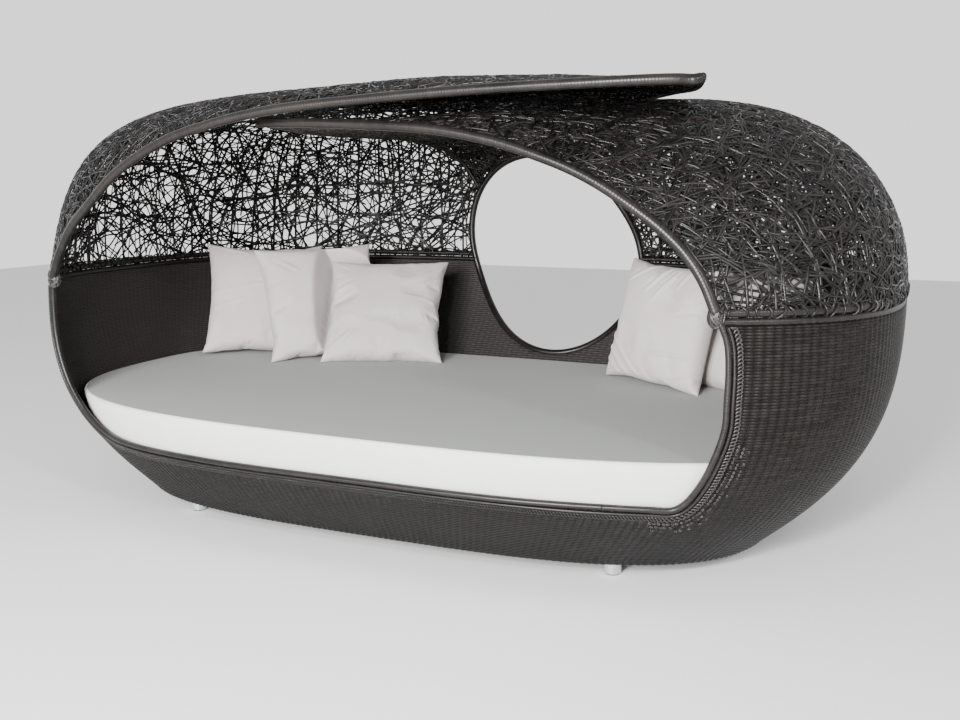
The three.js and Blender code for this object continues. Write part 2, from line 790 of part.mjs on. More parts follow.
// Feet: plastic glide, aluminium foot, plate and bolt, in a stack under each end of a foot beam

const footPlateBottom = baseRingHeight - footBeamHeight / 2 - gap - footPlateThickness;
const boltHole = boltRadius + gap;

function buildFeet() {
  const baseLine = hoopLine(baseRingHeight);
  const ring = toSolid(hoop(baseLine, frameTubeRadius + gap));
  const spread = footSpreadShare * nestPlan(baseRingHeight, 0).length;
  [["left", -spread], ["right", spread]].forEach(([side, x]) => {
    let beam = crossBeam(x, baseRingHeight, footBeamWidth, footBeamHeight).subtract(ring);
    const front = nestDepth(x, baseRingHeight, ringInset, -1) + footSetback;
    const back = nestDepth(x, baseRingHeight, ringInset, 1) - footSetback;
    [["front", front], ["back", back]].forEach(([end, y]) => {
      beam = beam.subtract(boltShaft(x, y, boltHole));
      buildFoot(`${end}_${side}`, x, y);
    });
    addPiece(`foot_beam_${side}`, toGeometry(largest(beam)), coatedTube);
  });
}

function boltShaft(x, y, radius) {
  const top = baseRingHeight + footBeamHeight / 2 + gap;
  return toSolid(disc(radius, boltDepth + top - footPlateBottom, x, y, footPlateBottom - boltDepth, boltSides));
}

function buildFoot(name, x, y) {
  const footTop = footPlateBottom - gap;
  const top = baseRingHeight + footBeamHeight / 2 + gap;
  const foot = toSolid(disc(footRadius, footTop - gliderHeight - gap, x, y, gliderHeight + gap, footSides));
  const plate = toSolid(box(footPlateSize, footPlateSize, footPlateThickness, x, y, footPlateBottom));
  const head = toSolid(disc(boltHeadRadius, boltHeadHeight, x, y, top, boltSides));
  addPiece(`glide_${name}`, disc(gliderRadius, gliderHeight, x, y, 0, footSides), blackPlastic);
  addPiece(`foot_${name}`, toGeometry(foot.subtract(boltShaft(x, y, boltHole))), brushedAluminium);
  addPiece(`foot_plate_${name}`, toGeometry(plate.subtract(boltShaft(x, y, boltHole))), brushedAluminium);
  addPiece(`foot_bolt_${name}`, toGeometry(boltShaft(x, y, boltRadius).add(head)), brushedAluminium);
}

// Mattress: follows the flare of the nest and rises past the lip

const mattressBottom = deckHeight + gap;
const mattressTop = deckHeight + mattressThickness;

function mattressLoop(height, inset) {
  const plan = nestPlan(height, shellWall + mattressInset + inset);
  plan.roundness = mattressRoundnessExponent;
  return around(ringSteps, (turn) => onPlan(plan, turn, height));
}

function buildMattress() {
  const r = mattressEdgeRadius;
  const loops = [mattressLoop(mattressBottom, r), mattressLoop(mattressBottom + r, 0)];
  loops.push(mattressLoop(mattressTop - r, 0));
  loops.push(mattressLoop(mattressTop - r * mattressEdgeShare, r * mattressEdgeShare));
  loops.push(mattressLoop(mattressTop, r));
  const crown = mattressLoop(mattressTop, mattressCrownInset).map((point) => lowered(point, -mattressCrown));
  loops.push(crown);
  addPiece("mattress", loft(loops), canvasCover);
}

// Scatter cushions: crowned squares with drawn-in sides, leaning back on the nest wall

const quarterTurn = Math.PI / 2;

function cushionPoint(u, v, face, size, thickness) {
  const drawn = 1 - cushionDrawShare * (1 - v * v) * u * u;
  const drawnUp = 1 - cushionDrawShare * (v < 0 ? cushionRestShare : 1) * (1 - u * u) * v * v;
  const fullness = Math.max((1 - u * u) * (1 - v * v), 0) ** cushionSwellExponent;
  return new THREE.Vector3(size / 2 * u * drawn, size / 2 * v * drawnUp, face * fullness * thickness / 2);
}

// Both faces of a cushion over one square grid, joined along the seam.
function cushionBody(size, thickness) {
  const places = levels(-quarterTurn, quarterTurn, cushionSteps).map((turn) => Math.sin(turn));
  const across = cushionSteps + 1;
  const points = [];
  const faces = [];
  [1, -1].forEach((face) => {
    const first = points.length;
    places.forEach((u) => places.forEach((v) => points.push(cushionPoint(u, v, face, size, thickness))));
    for (let i = 0; i < cushionSteps; i += 1) {
      for (let j = 0; j < cushionSteps; j += 1) {
        const a = first + i * across + j;
        const b = a + across;
        const quad = face > 0 ? [a, b, b + 1, a, b + 1, a + 1] : [a, b + 1, b, a, a + 1, b + 1];
        faces.push(...quad);
      }
    }
  });
  return toSolid(bodyOf(points, faces));
}

// A cushion set down on its lower seam: its middle across and back as shares of the mattress, its
// heading from the long axis, how far it leans back, and how far it is turned in its own plane.
function placedCushion(place, grow) {
  const [acrossShare, backShare, heading, lean, roll, sizeShare] = place;
  const size = cushionSize * sizeShare;
  const along = new THREE.Vector3(Math.cos(heading), Math.sin(heading), 0);
  const behind = new THREE.Vector3(-Math.sin(heading), Math.cos(heading), 0);
  const upright = behind.multiplyScalar(Math.sin(lean)).add(new THREE.Vector3(0, 0, Math.cos(lean)));
  const e1 = along.clone().multiplyScalar(Math.cos(roll)).addScaledVector(upright, Math.sin(roll));
  const e2 = upright.clone().multiplyScalar(Math.cos(roll)).addScaledVector(along, -Math.sin(roll));
  const drop = size / 2 * (Math.abs(e1.z) + Math.abs(e2.z));
  const height = cushionFloor - seamPress + drop;
  const seat = nestPlan(mattressTop, shellWall + mattressInset);
  const middle = new THREE.Vector3(acrossShare * seat.length, backShare * seat.back, height);
  const frame = new THREE.Matrix4().makeBasis(e1, e2, new THREE.Vector3().crossVectors(e1, e2));
  const body = cushionBody(size + 2 * grow, cushionThickness + 2 * grow);
  return body.transform(frame.setPosition(middle).elements).subtract(slab(cushionFloor, false));
}

const cushionFloor = mattressTop + mattressCrown + gap;

const cushionShares = {
  cushion_left_end: [-0.7900, 0.5739, 0.6, 0.48, -0.04, 1],
  cushion_left_middle: [-0.5760, 0.5604, 0.752, 0.49, 0.045, 1],
  cushion_left_front: [-0.3843, 0.6668, 0.356, 0.686, 0, 1],
  cushion_right_end: [0.6345, 0.6818, -0.56, 0.66, 0, 1],
  cushion_right_front: [0.4855, 0.4630, -0.524, 0.28, -0.02, 0.905],
};

// The space that a cushion passes through as it is lifted forward and up.
function cushionPath(place) {
  const heading = place[2];
  const forward = new THREE.Vector3(Math.sin(heading), -Math.cos(heading), 0).multiplyScalar(liftForwardShare);
  const away = forward.add(new THREE.Vector3(0, 0, liftUpShare)).multiplyScalar(liftLength);
  const body = placedCushion(place, dentGap);
  return body.add(body.translate(away.toArray())).hull();
}

// A cushion is dented where the one in front of it leans on it.
function buildCushion(name, ...inFront) {
  let body = placedCushion(cushionShares[name], 0);
  inFront.forEach((other) => {
    body = body.subtract(cushionPath(cushionShares[other]));
  });
  addPiece(name, toGeometry(largest(body)), cushionCover);
}

function buildCushions() {
  buildCushion("cushion_left_end", "cushion_left_middle", "cushion_left_front");
  buildCushion("cushion_left_middle", "cushion_left_front");
  buildCushion("cushion_left_front");
  buildCushion("cushion_right_end", "cushion_right_front");
  buildCushion("cushion_right_front");
}

buildNest();
buildMouth();
buildRails();
buildPortholeRing();
buildCanopy();
buildChassis();
buildDeck();
buildFeet();
buildMattress();
buildCushions();

const middle = new THREE.Box3().setFromObject(daybed).getCenter(new THREE.Vector3());
daybed.children.forEach((mesh) => mesh.geometry.translate(0, -middle.y, 0));

export default daybed;
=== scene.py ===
"""Outdoor daybed: a close-woven nest on four feet under a canopy of two open-woven leaves.

Metres, +Z up, +Y towards the back. Shapes are worked out in the nest's own frame, with its middle
at x = y = 0, and moved back by SETBACK as their meshes are made.
"""
import math

import bpy
import numpy as np
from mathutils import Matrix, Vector


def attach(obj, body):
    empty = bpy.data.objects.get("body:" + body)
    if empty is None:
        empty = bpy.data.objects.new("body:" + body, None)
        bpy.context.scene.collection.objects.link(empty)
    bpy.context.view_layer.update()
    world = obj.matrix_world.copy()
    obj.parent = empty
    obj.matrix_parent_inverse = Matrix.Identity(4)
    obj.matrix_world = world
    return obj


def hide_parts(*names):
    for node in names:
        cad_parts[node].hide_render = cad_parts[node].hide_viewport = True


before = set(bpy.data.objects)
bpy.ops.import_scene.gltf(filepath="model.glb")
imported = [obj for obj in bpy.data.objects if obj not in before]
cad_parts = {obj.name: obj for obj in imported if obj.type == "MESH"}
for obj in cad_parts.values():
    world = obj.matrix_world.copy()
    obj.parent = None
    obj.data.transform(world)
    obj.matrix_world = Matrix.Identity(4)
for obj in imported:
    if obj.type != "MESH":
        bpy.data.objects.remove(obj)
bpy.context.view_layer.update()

SETBACK = -0.0395378

# Nest
HALF_LENGTH = 1.4
HALF_DEPTH = 0.875
BELT = 0.74
GROUND_CLEARANCE = 0.044
WALL = 0.014
BOTTOM_LENGTH = 0.766
BOTTOM_FRONT = 0.754
BOTTOM_BACK = 0.45
STAKE_PITCH = 0.0245
ROW_PITCH = 0.0078
COLUMNS_PER_STAKE = 4
NEST_LEVELS = 49
RIB = 0.0013  # half a rib's height
PAST_MOUTH = 0.005  # the wall stops this far outside the mouth's line

# Canopy
RAIL_PITCH = 0.022  # between the middles of the two rails
CANOPY_BASE = BELT + RAIL_PITCH
LEAF_WALL = 0.012
LEAF_SPACING = 0.026  # how far the right leaf is drawn in at the back
PAST_CANOPY = 2.2  # farther from its axis than any leaf reaches
PAST_ENDS = 2.8  # farther out than the canopy reaches
STRAND_WIDTH = 0.0066
STRAND_HEIGHT = 0.0044
STRAND_STEP = 0.024
STRAND_REACH = 30  # steps laid to either side of a start
STRANDS_PER_METRE = 2.6  # lines laid for each metre wanted, to pick from
STRAND_CELL = 0.042  # cells that are filled evenly
STRAND_PICKS = 24  # lines picked at a time
STRAND_WAVE = 0.0032  # how far a strand rises and dips
SHORTEST_STRAND = 0.1
STAKE_SPACING = 0.095
STAKE_STEPS = 84
STAKE_WIDTH = 0.0095
STAKE_HEIGHT = 0.0085
LEAF_CELLS = 90  # grid that starts are drawn from
NORMAL_STEP = 0.006

# Tubes
RIM = 0.0135
REAR_RIM = 0.009
RAIL = 0.01085
MOUTH_TUBE = 0.009
PORTHOLE_TUBE = 0.018
PORTHOLE_EDGE = 0.75 * PORTHOLE_TUBE  # the tube that is shown
TAPE_PITCH = 0.0085
BRAID_PITCH = 0.018
BRAID_OFFSET = 0.026
BRAID_STRAND = 0.0027
BRAID_SWING = 0.0055
BRAID_HEIGHT = 0.002
BRAID_STEPS = 2600
INNER_BAND = 0.0042
STITCH_SPACING = 0.0115
STITCH_ROWS = ((0.041, 0.1), (0.053, 0.3), (0.066, 0.55))  # distance from the edge, share missing
TILT = 0.007  # spread of a lashing's reach along the rail
LOOP_SIDES = 5
LASHING_SPACING = 0.03
KNOT_LOOPS = 34
TAPE_CENTRE = np.array([0, 0, 0.55])  # tubes are turned to face away from here

# Porthole
PORTHOLE_X = 0.03
PORTHOLE_LIFT = 0.046
PORTHOLE_HALF = (0.322, 0.398)
PORTHOLE_LEAN = 0.677

# Camera of the photo
CAMERA_PLACE = (1.4525, -3.18 + SETBACK, 1.07)
CAMERA_YAW = 0.410
CAMERA_PITCH = math.radians(-9.86)
CAMERA_LENS = 38.76
SENSOR_WIDTH = 36

# Mattress and cushions
DECK = 0.237
MATTRESS_TOP = 0.377
MATTRESS_SIDES = 360
MATTRESS_LIFT = 0.0003
MATTRESS_FOOT_EDGE = 0.006  # radius of the bottom edge
MATTRESS_EDGE = 0.015  # radius of the top edge
MATTRESS_SWELL = 0.003
THREAD = 900.0  # radians of thread in a metre
CUSHION_FLOOR = 0.3803
CUSHION_SIZE = 0.476
CUSHION_THICKNESS = 0.16
CUSHION_DRAW = 0.055  # how much the sides draw in
TOP_DRAW = {"cushion_left_end": 0.085, "cushion_left_middle": 0.03}
CUSHION_STEPS = 72
CUSHION_START = 0.66  # share of the thickness before it is blown up
CUSHION_WAVES = 14
WAVE_HEIGHT = 0.004
PILLOW_POWER = 0.42
CUSHION_SHARE = 0.985  # share of the size before it is blown up
SWELL = 0.028  # the most that a point of a cover moves
PRESS_EDGE = 0.006  # softness of a dent's edge
PRESS_SLOPE = 2.4  # how fast a dent's limit falls away beside the cushion
CLOTH_FRAMES = 20
CLOTH = dict(quality=5, mass=0.3, air_damping=2, tension_stiffness=30, compression_stiffness=1,
             shear_stiffness=5, bending_stiffness=0.05, shrink_min=-0.05, use_pressure=True,
             uniform_pressure_force=2)


# Vectors and curves

def unit(v):
    """Rows of v divided by their lengths."""
    return v / np.maximum(np.linalg.norm(v, axis=-1, keepdims=True), 1e-12)


def smoothstep(x, low, high):
    """3 t^2 - 2 t^3 with t = (x - low) / (high - low) held between 0 and 1."""
    t = np.clip((x - low) / (high - low), 0, 1)
    return t * t * (3 - 2 * t)


def lengths(points):
    """Distance run along a line of points, from 0."""
    return np.concatenate([[0], np.cumsum(np.linalg.norm(np.diff(points, axis=0), axis=1))])


def respaced(points, count):
    """The line's points again at count + 1 equal steps along it."""
    run = lengths(points)
    even = np.linspace(0, run[-1], count + 1)
    return np.stack([np.interp(even, run, points[:, k]) for k in range(3)], 1)


def flowing(points, per_span=24):
    """Centripetal Catmull-Rom curve: on each span a cubic through its ends whose tangents weigh the
    neighbouring chords by the square roots of their lengths."""
    p = np.vstack([2 * points[0] - points[1], points, 2 * points[-1] - points[-2]])
    d = np.maximum(np.linalg.norm(np.diff(p, axis=0), axis=1) ** 0.5, 1e-9)
    t = np.linspace(0, 1, per_span, endpoint=False)[None, :, None]
    p0, p1, p2, p3 = p[:-3, None], p[1:-2, None], p[2:-1, None], p[3:, None]
    d0, d1, d2 = (v[:, None, None] for v in (d[:-2], d[1:-1], d[2:]))
    m1 = ((p1 - p0) / d0 - (p2 - p0) / (d0 + d1) + (p2 - p1) / d1) * d1
    m2 = ((p2 - p1) / d1 - (p3 - p1) / (d1 + d2) + (p3 - p2) / d2) * d1
    line = (2 * t**3 - 3 * t**2 + 1) * p1 + (t**3 - 2 * t**2 + t) * m1
    line = line + (-2 * t**3 + 3 * t**2) * p2 + (t**3 - t**2) * m2
    return np.vstack([line.reshape(-1, 3), points[-1]])


def within(outline, points):
    """Whether each 2-D point lies inside the closed outline: an odd number of its edges cross the
    half line to the point's right."""
    a, b = outline, np.roll(outline, -1, axis=0)
    x, y = points[:, 0:1], points[:, 1:2]
    spans = (a[None, :, 1] > y) != (b[None, :, 1] > y)
    climb = b[:, 1] - a[:, 1]
    slope = (b[:, 0] - a[:, 0]) / np.where(np.abs(climb) < 1e-12, 1e-12, climb)
    cross = a[None, :, 0] + (y - a[None, :, 1]) * slope[None, :]
    return np.sum(spans & (x < cross), axis=1) % 2 == 1


def farthest(held, near, far, times):
    """The largest distance between near and far that is still held, by halving."""
    for _ in range(times):
        middle = (near + far) / 2
        inside = held(middle)
        near, far = np.where(inside, middle, near), np.where(inside, far, middle)
    return near


def beside(line, distance):
    """The parallel of an open 2-D line at a distance to its left."""
    run = unit(np.gradient(line, axis=0))
    return line + distance * np.stack([-run[:, 1], run[:, 0]], 1)


# Nest shell

def rise(z):
    """Share of the way from the bottom edge to the belt."""
    return np.clip((z - GROUND_CLEARANCE) / (BELT - GROUND_CLEARANCE), 0, 1)


def nest_plan(z, inset):
    """Half length, half depth in front and at the back, and roundness of the plan at height z: each
    half size grows as (1 - (1 - rise) ** flare) ** fullness."""
    side = (1 - (1 - rise(z)) ** 3.03) ** 1.13
    back = (1 - (1 - rise(z)) ** 2.05) ** 2.5
    return (HALF_LENGTH * (BOTTOM_LENGTH + (1 - BOTTOM_LENGTH) * side) - inset,
            HALF_DEPTH * (BOTTOM_FRONT + (1 - BOTTOM_FRONT) * side) - inset,
            HALF_DEPTH * (BOTTOM_BACK + (1 - BOTTOM_BACK) * back) - inset,
            3.23 - 0.2 * rise(z))


def on_nest(turn, z, inset, roundness=None):
    """Point of the nest wall: superellipse (|x / length| ** n + |y / depth| ** n = 1) at height z."""
    length, front, back, n = nest_plan(z, inset)
    n = n if roundness is None else roundness
    c, s = np.cos(turn), np.sin(turn)
    reach = (np.abs(c) ** n + np.abs(s) ** n) ** (-1 / n)
    depth = np.where(s < 0, front, back)
    return np.stack(np.broadcast_arrays(length * reach * c, depth * reach * s, z), -1)


def nest_depth(x, z, inset, side):
    """The wall's y at a place across and up, on its front (side < 0) or its back."""
    length, front, back, n = nest_plan(z, inset)
    depth = (1 - np.minimum(np.abs(x) / length, 1) ** n) ** (1 / n)
    return np.where(side < 0, -front * depth, back * depth)


def belt_run(inset, count):
    """Turns round the belt, and the distance run along it to each."""
    turns = np.linspace(0, 2 * math.pi, count)
    return turns, lengths(on_nest(turns, np.full(count, BELT), inset))


# Canopy leaves

def left_height(x):
    """Height of the left leaf over its base, which falls evenly by 6.6 % to the right end and by
    1.7 % to the left one."""
    return 0.588 * (1 - np.where(x > 0, 0.066, -0.017) * x / HALF_LENGTH)


def right_height(x):
    """Height of the right leaf over its base, which grows by 0.465 s ^ 2 / (s + 0.107), with s the
    share of the half length to the right."""
    share = np.maximum(x, 0) / HALF_LENGTH
    return 0.482 * (1 + 0.465 * share * share / (share + 0.107))


def boxiness(turn):
    """0 round the right end, then the turn past 50 degrees over 40 degrees, to the power 1.3, up to 1
    from the leaf's middle to the left."""
    across = np.arctan2(np.abs(np.sin(turn)), np.maximum(np.cos(turn), 0))
    return (np.maximum(across - 0.873, 0) / 0.698) ** 1.3


def left_taper(lift, x, turn):
    """Share of the plan's size left at a share of the height: (1 - lift ^ 4) ^ (1 / out), with out
    growing evenly to the right."""
    return (1 - lift ** 4) ** (1 / (5.8 + 10.5 * np.maximum(x, 0) / HALF_LENGTH))


def right_taper(lift, x, turn):
    """As the left taper, (1 - lift ^ power) ^ (1 / out), with power and out growing with the boxiness
    and out towards the left end too."""
    boxy = boxiness(turn)
    out = 3.46 + 5.04 * boxy + 16 * np.maximum(-np.cos(turn), 0)
    return (1 - lift ** (2.02 + 1.98 * boxy)) ** (1 / out)


LEFT = dict(vault=True, tuck=0.0, height=left_height, taper=left_taper)
RIGHT = dict(vault=False, tuck=LEAF_SPACING, height=right_height, taper=right_taper)


def crown(p):
    """How much higher the tongue stands behind its front rim than the even vault, and how much it
    droops at its tip."""
    share = np.arctan2(p[..., 2] - CANOPY_BASE, p[..., 1]) / math.pi
    behind = smoothstep(share, 0.35, 0.6) * (1 - smoothstep(share, 0.7, 0.785))
    rise = behind * smoothstep(p[..., 0], -0.3, 0.2) * (1 - smoothstep(p[..., 0], 0.5, 0.8))
    droop = smoothstep(p[..., 0], 0.68, 0.93) * (1 - smoothstep(share, 0.72, 0.8))
    return 0.018 * rise - 0.009 * droop


def inside_leaf(leaf, p, inset):
    """Whether p is under the leaf: (|x| / taper) ** n + (|y| / taper) ** n < 1 in shares of the half
    sizes, with the leaf drawn in at the back by its tuck, and no x term along a vault."""
    height = leaf["height"](p[..., 0]) - inset + (crown(p) if leaf["vault"] else 0)
    lift = (p[..., 2] - CANOPY_BASE) / height
    low = np.clip(lift, 0, 1 - 1e-9)
    x = p[..., 0]
    drawn = smoothstep(low, 0.1, 0.45) * (1 - smoothstep(x / HALF_LENGTH, 0.33, 0.66))
    y = p[..., 1] + np.where(p[..., 1] > 0, leaf["tuck"], 0) * drawn
    v = np.abs(y) / (HALF_DEPTH - inset)
    u = x / (HALF_LENGTH - inset)
    u = np.where(x > 0, 0, u) if leaf["vault"] else u
    turn = np.arctan2(v, u)
    taper = leaf["taper"](low, x, turn)
    n = 3.03 - 1.23 * low
    return ((np.abs(u) / taper) ** n + (v / taper) ** n < 1) & (lift < 1)


def onto_leaf(leaf, p, inset):
    """p moved onto the leaf along the ray from its axis: the middle of the belt plane, or for a
    vault the point of that line beside p. The distance comes by halving."""
    axis = np.zeros_like(p)
    axis[..., 2] = CANOPY_BASE
    if leaf["vault"]:
        axis[..., 0] = np.maximum(p[..., 0], 0)
    ray = unit(p - axis)
    near, far = np.zeros(p.shape[:-1]), np.full(p.shape[:-1], PAST_CANOPY)
    reach = farthest(lambda r: inside_leaf(leaf, axis + ray * r[..., None], inset), near, far, 26)
    return axis + ray * reach[..., None]


def leaf_section(leaf, x, share, inset):
    """Point of the leaf in the section at x, seen from the belt plane at share of a half turn."""
    c, s = np.cos(math.pi * share), np.sin(math.pi * share)
    near = np.zeros(np.broadcast(x, share).shape)
    far = np.full(near.shape, 2 * HALF_DEPTH)

    def place(r):
        """The section's point at a distance r from the middle of the belt plane."""
        return np.stack(np.broadcast_arrays(x, r * c, CANOPY_BASE + r * s), -1)

    return place(farthest(lambda r: inside_leaf(leaf, place(r), inset), near, far, 30))


def leaf_normal(leaf, p, inset):
    """Outward normal: the cross product of two small steps along the surface."""
    axis = np.array([0, 0, CANOPY_BASE - 0.4])
    out = unit(p - axis)
    a = unit(np.cross(out, [0.31, 0.2, 0.93]))
    b = np.cross(out, a)
    da, db = (onto_leaf(leaf, p + NORMAL_STEP * way, inset) - onto_leaf(leaf, p - NORMAL_STEP * way, inset)
              for way in (a, b))
    n = unit(np.cross(da, db))
    return n * np.sign(np.sum(n * out, -1, keepdims=True))


# Rims: shares of the half length and of the half turn over the canopy, from belt to tip and back

LEFT_FRONT = [(-0.82, 1), (-0.789, 0.969), (-0.729, 0.928), (-0.651, 0.899), (-0.564, 0.8655),
              (-0.429, 0.836), (-0.313, 0.8235), (-0.204, 0.815), (-0.0986, 0.81), (0, 0.806),
              (0.221, 0.802), (0.443, 0.7995), (0.6, 0.7975), (0.64, 0.799), (0.664, 0.802), (0.673, 0.799)]
LEFT_REAR = [(0.671, 0.789), (0.652, 0.757), (0.607, 0.681), (0.529, 0.567), (0.429, 0.418), (0.336, 0.289),
             (0.279, 0.213), (0.25, 0.159), (0.229, 0.11), (0.207, 0.06), (0.18, 0.02)]
RIGHT_FRONT = [(0.714, 1), (0.691, 0.9695), (0.663, 0.9455), (0.619, 0.9205), (0.561, 0.897), (0.502, 0.877),
               (0.443, 0.862), (0.379, 0.8505), (0.314, 0.8405), (0.246, 0.833), (0.179, 0.827), (0.1, 0.822),
               (0, 0.8155), (-0.107, 0.811), (-0.186, 0.806), (-0.245, 0.797), (-0.27, 0.782)]
RIGHT_REAR = [(-0.278, 0.77), (-0.314, 0.738), (-0.379, 0.625), (-0.429, 0.5), (-0.443, 0.348),
              (-0.414, 0.258), (-0.343, 0.203), (-0.264, 0.157), (-0.214, 0.109), (-0.186, 0.07),
              (-0.16, 0.03)]


def rim_line(leaf, shares, count):
    """Smooth line through the rim's places on the leaf, in count equal steps."""
    table = np.array(shares)
    places = leaf_section(leaf, table[:, 0] * HALF_LENGTH, table[:, 1], LEAF_WALL / 2)
    return respaced(flowing(places), count)


left_front = rim_line(LEFT, LEFT_FRONT, 140)
left_rear = rim_line(LEFT, LEFT_REAR, 300)
right_front = rim_line(RIGHT, RIGHT_FRONT, 140)
right_rear = rim_line(RIGHT, RIGHT_REAR, 300)

FRONT_UP = np.array([0, 1, 1]) / math.sqrt(2)
REAR_UP = np.array([0, -1, 1]) / math.sqrt(2)


def seen(line, up):
    """The line in the plane of x and the up axis."""
    return np.stack([line[:, 0], line @ up], 1)


def past_rims(front, rear, side):
    """Outlines of all that lies past a leaf's front rim and tip, seen down the front slope, and past
    its rear rim, seen down the rear slope."""
    roof = rear[rear[:, 1] < 0.5 * HALF_DEPTH]
    a, b = seen(front, FRONT_UP), seen(roof, FRONT_UP)
    far = side * PAST_ENDS
    ahead = np.vstack([a, b, [[far, b[-1, 1]], [far, -PAST_ENDS], [a[0, 0], -PAST_ENDS]]])
    c = seen(rear, REAR_UP)
    behind = np.vstack([[[far, c[0, 1]]], c, [[c[-1, 0], -PAST_ENDS], [far, -PAST_ENDS]]])
    return ahead, behind


def porthole_outline(grow, turn):
    """Leaning ellipse in the plane of x and z."""
    u = (PORTHOLE_HALF[0] + grow) * np.cos(turn)
    v = (PORTHOLE_HALF[1] + grow) * np.sin(turn)
    c, s = math.cos(PORTHOLE_LEAN), math.sin(PORTHOLE_LEAN)
    return np.stack([PORTHOLE_X + u * c - v * s, BELT + PORTHOLE_LIFT + u * s + v * c], -1)


PORTHOLE_RING = porthole_outline(PORTHOLE_TUBE, np.linspace(0, 2 * math.pi, 97)[:-1])


def over_porthole(points):
    """Whether points lie at the back inside the porthole's ring."""
    return within(PORTHOLE_RING, points[:, [0, 2]]) & (points[:, 1] > 0)


def back_wall(x, z):
    """Middle of the back wall: the nest below the belt, above it the left leaf passing to the right
    one across the porthole."""
    up = np.maximum(z, CANOPY_BASE)

    def depth(leaf):
        """How far back the middle of the leaf stands at x, z."""
        return farthest(lambda y: inside_leaf(leaf, np.stack([x, y, up], -1), LEAF_WALL / 2),
                        np.zeros_like(x), np.full_like(x, HALF_DEPTH), 30)

    outer, inner = depth(LEFT), depth(RIGHT)
    share = smoothstep(x, -0.6 * PORTHOLE_HALF[0], PORTHOLE_HALF[0])
    return np.where(z < BELT, nest_depth(x, z, WALL / 2, 1), outer + (inner - outer) * share)


# The mouth's edge, left, lip and right: shares of the half length and of the belt's height
MOUTH = [(-0.827, 1.0), (-0.834, 0.93), (-0.837, 0.811), (-0.827, 0.696), (-0.808, 0.59), (-0.783, 0.509),
         (-0.744, 0.426), (-0.679, 0.36), (-0.6, 0.339), (-0.36, 0.336), (0, 0.337), (0.36, 0.336),
         (0.6, 0.337), (0.643, 0.337), (0.664, 0.364), (0.694, 0.445), (0.717, 0.54), (0.734, 0.646),
         (0.737, 0.743), (0.738, 0.838), (0.734, 0.932), (0.722, 1.0)]


def mouth_line(count):
    """Smooth line through the mouth's corners on the front wall, in count equal steps."""
    table = np.array(MOUTH)
    x, z = table[:, 0] * HALF_LENGTH, table[:, 1] * BELT
    return respaced(flowing(np.stack([x, nest_depth(x, z, WALL / 2, -1), z], 1)), count)


# Meshes

def make_piece(name, points, faces, finish, nodes=(), uv=None, shade=None, body="shell"):
    """A smooth-shaded object from points and faces, moved back by SETBACK, riding on a body and
    standing for CAD nodes. uv is given for each point, and shade is a number for each point that its
    finish can read."""
    mesh = bpy.data.meshes.new(name)
    placed = np.array(points, float) + [0, SETBACK, 0]
    mesh.from_pydata(placed, [], faces)
    mesh.update()
    mesh.polygons.foreach_set("use_smooth", np.ones(len(mesh.polygons), bool))
    if uv is not None:
        corners = np.zeros(len(mesh.loops), np.int32)
        mesh.loops.foreach_get("vertex_index", corners)
        layer = mesh.uv_layers.new(name="UVMap")
        layer.data.foreach_set("uv", np.asarray(uv, np.float32)[corners].ravel())
    if shade is not None:
        layer = mesh.attributes.new("shade", "FLOAT", "POINT")
        layer.data.foreach_set("value", np.asarray(shade, np.float32))
    piece = bpy.data.objects.new(name, mesh)
    bpy.context.scene.collection.objects.link(piece)
    mesh.materials.append(finish)
    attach(piece, body)
    if nodes:
        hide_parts(*nodes)
    return piece


def joined(rings, others, sides):
    """Quads between closed rings of points and others, both given by their numbers."""
    k = np.arange(sides)
    j = (k + 1) % sides
    here, there = rings[:, None] * sides, others[:, None] * sides
    return np.stack([here + k, here + j, there + j, there + k], -1).reshape(-1, 4)


def stacked(rings, sides):
    """Faces of a closed stack of rings: quads from each to the next, and a face at each end."""
    below = np.arange(rings - 1)
    ends = [list(range(sides))[::-1], list(range((rings - 1) * sides, rings * sides))]
    return joined(below, below + 1, sides).tolist() + ends


def tube(line, radii, outward, sides):
    """Rings round a line: each point plus radius times (cos a * side + sin a * up), where up is the
    outward direction squared to the run and side = run x up. Returns points and faces."""
    run = unit(np.gradient(line, axis=0))
    up = unit(outward - np.sum(outward * run, -1, keepdims=True) * run)
    side = np.cross(run, up)
    turn = 2 * math.pi * np.arange(sides) / sides
    ring = side[:, None] * np.cos(turn)[None, :, None] + up[:, None] * np.sin(turn)[None, :, None]
    points = (line[:, None] + np.asarray(radii)[:, None, None] * ring).reshape(-1, 3)
    return points, stacked(len(line), sides)


def wound_tube(name, line, radius, nodes, finish, sides=20, groove=0.0002):
    """Tube wound with tape: its radius dips by the groove between turns, a tape's pitch apart."""
    count = max(int(lengths(line)[-1] / TAPE_PITCH) * 3, 6)
    fine = respaced(line, count)
    phase = np.arange(count + 1) % 3
    radii = radius - np.where(phase == 0, groove, 0)
    points, faces = tube(fine, radii, fine - TAPE_CENTRE, sides)
    run = np.repeat(lengths(fine), sides)
    turn = np.tile(np.arange(sides) / sides, count + 1)
    return make_piece(name, points, faces, finish, nodes, np.stack([run, turn], 1))


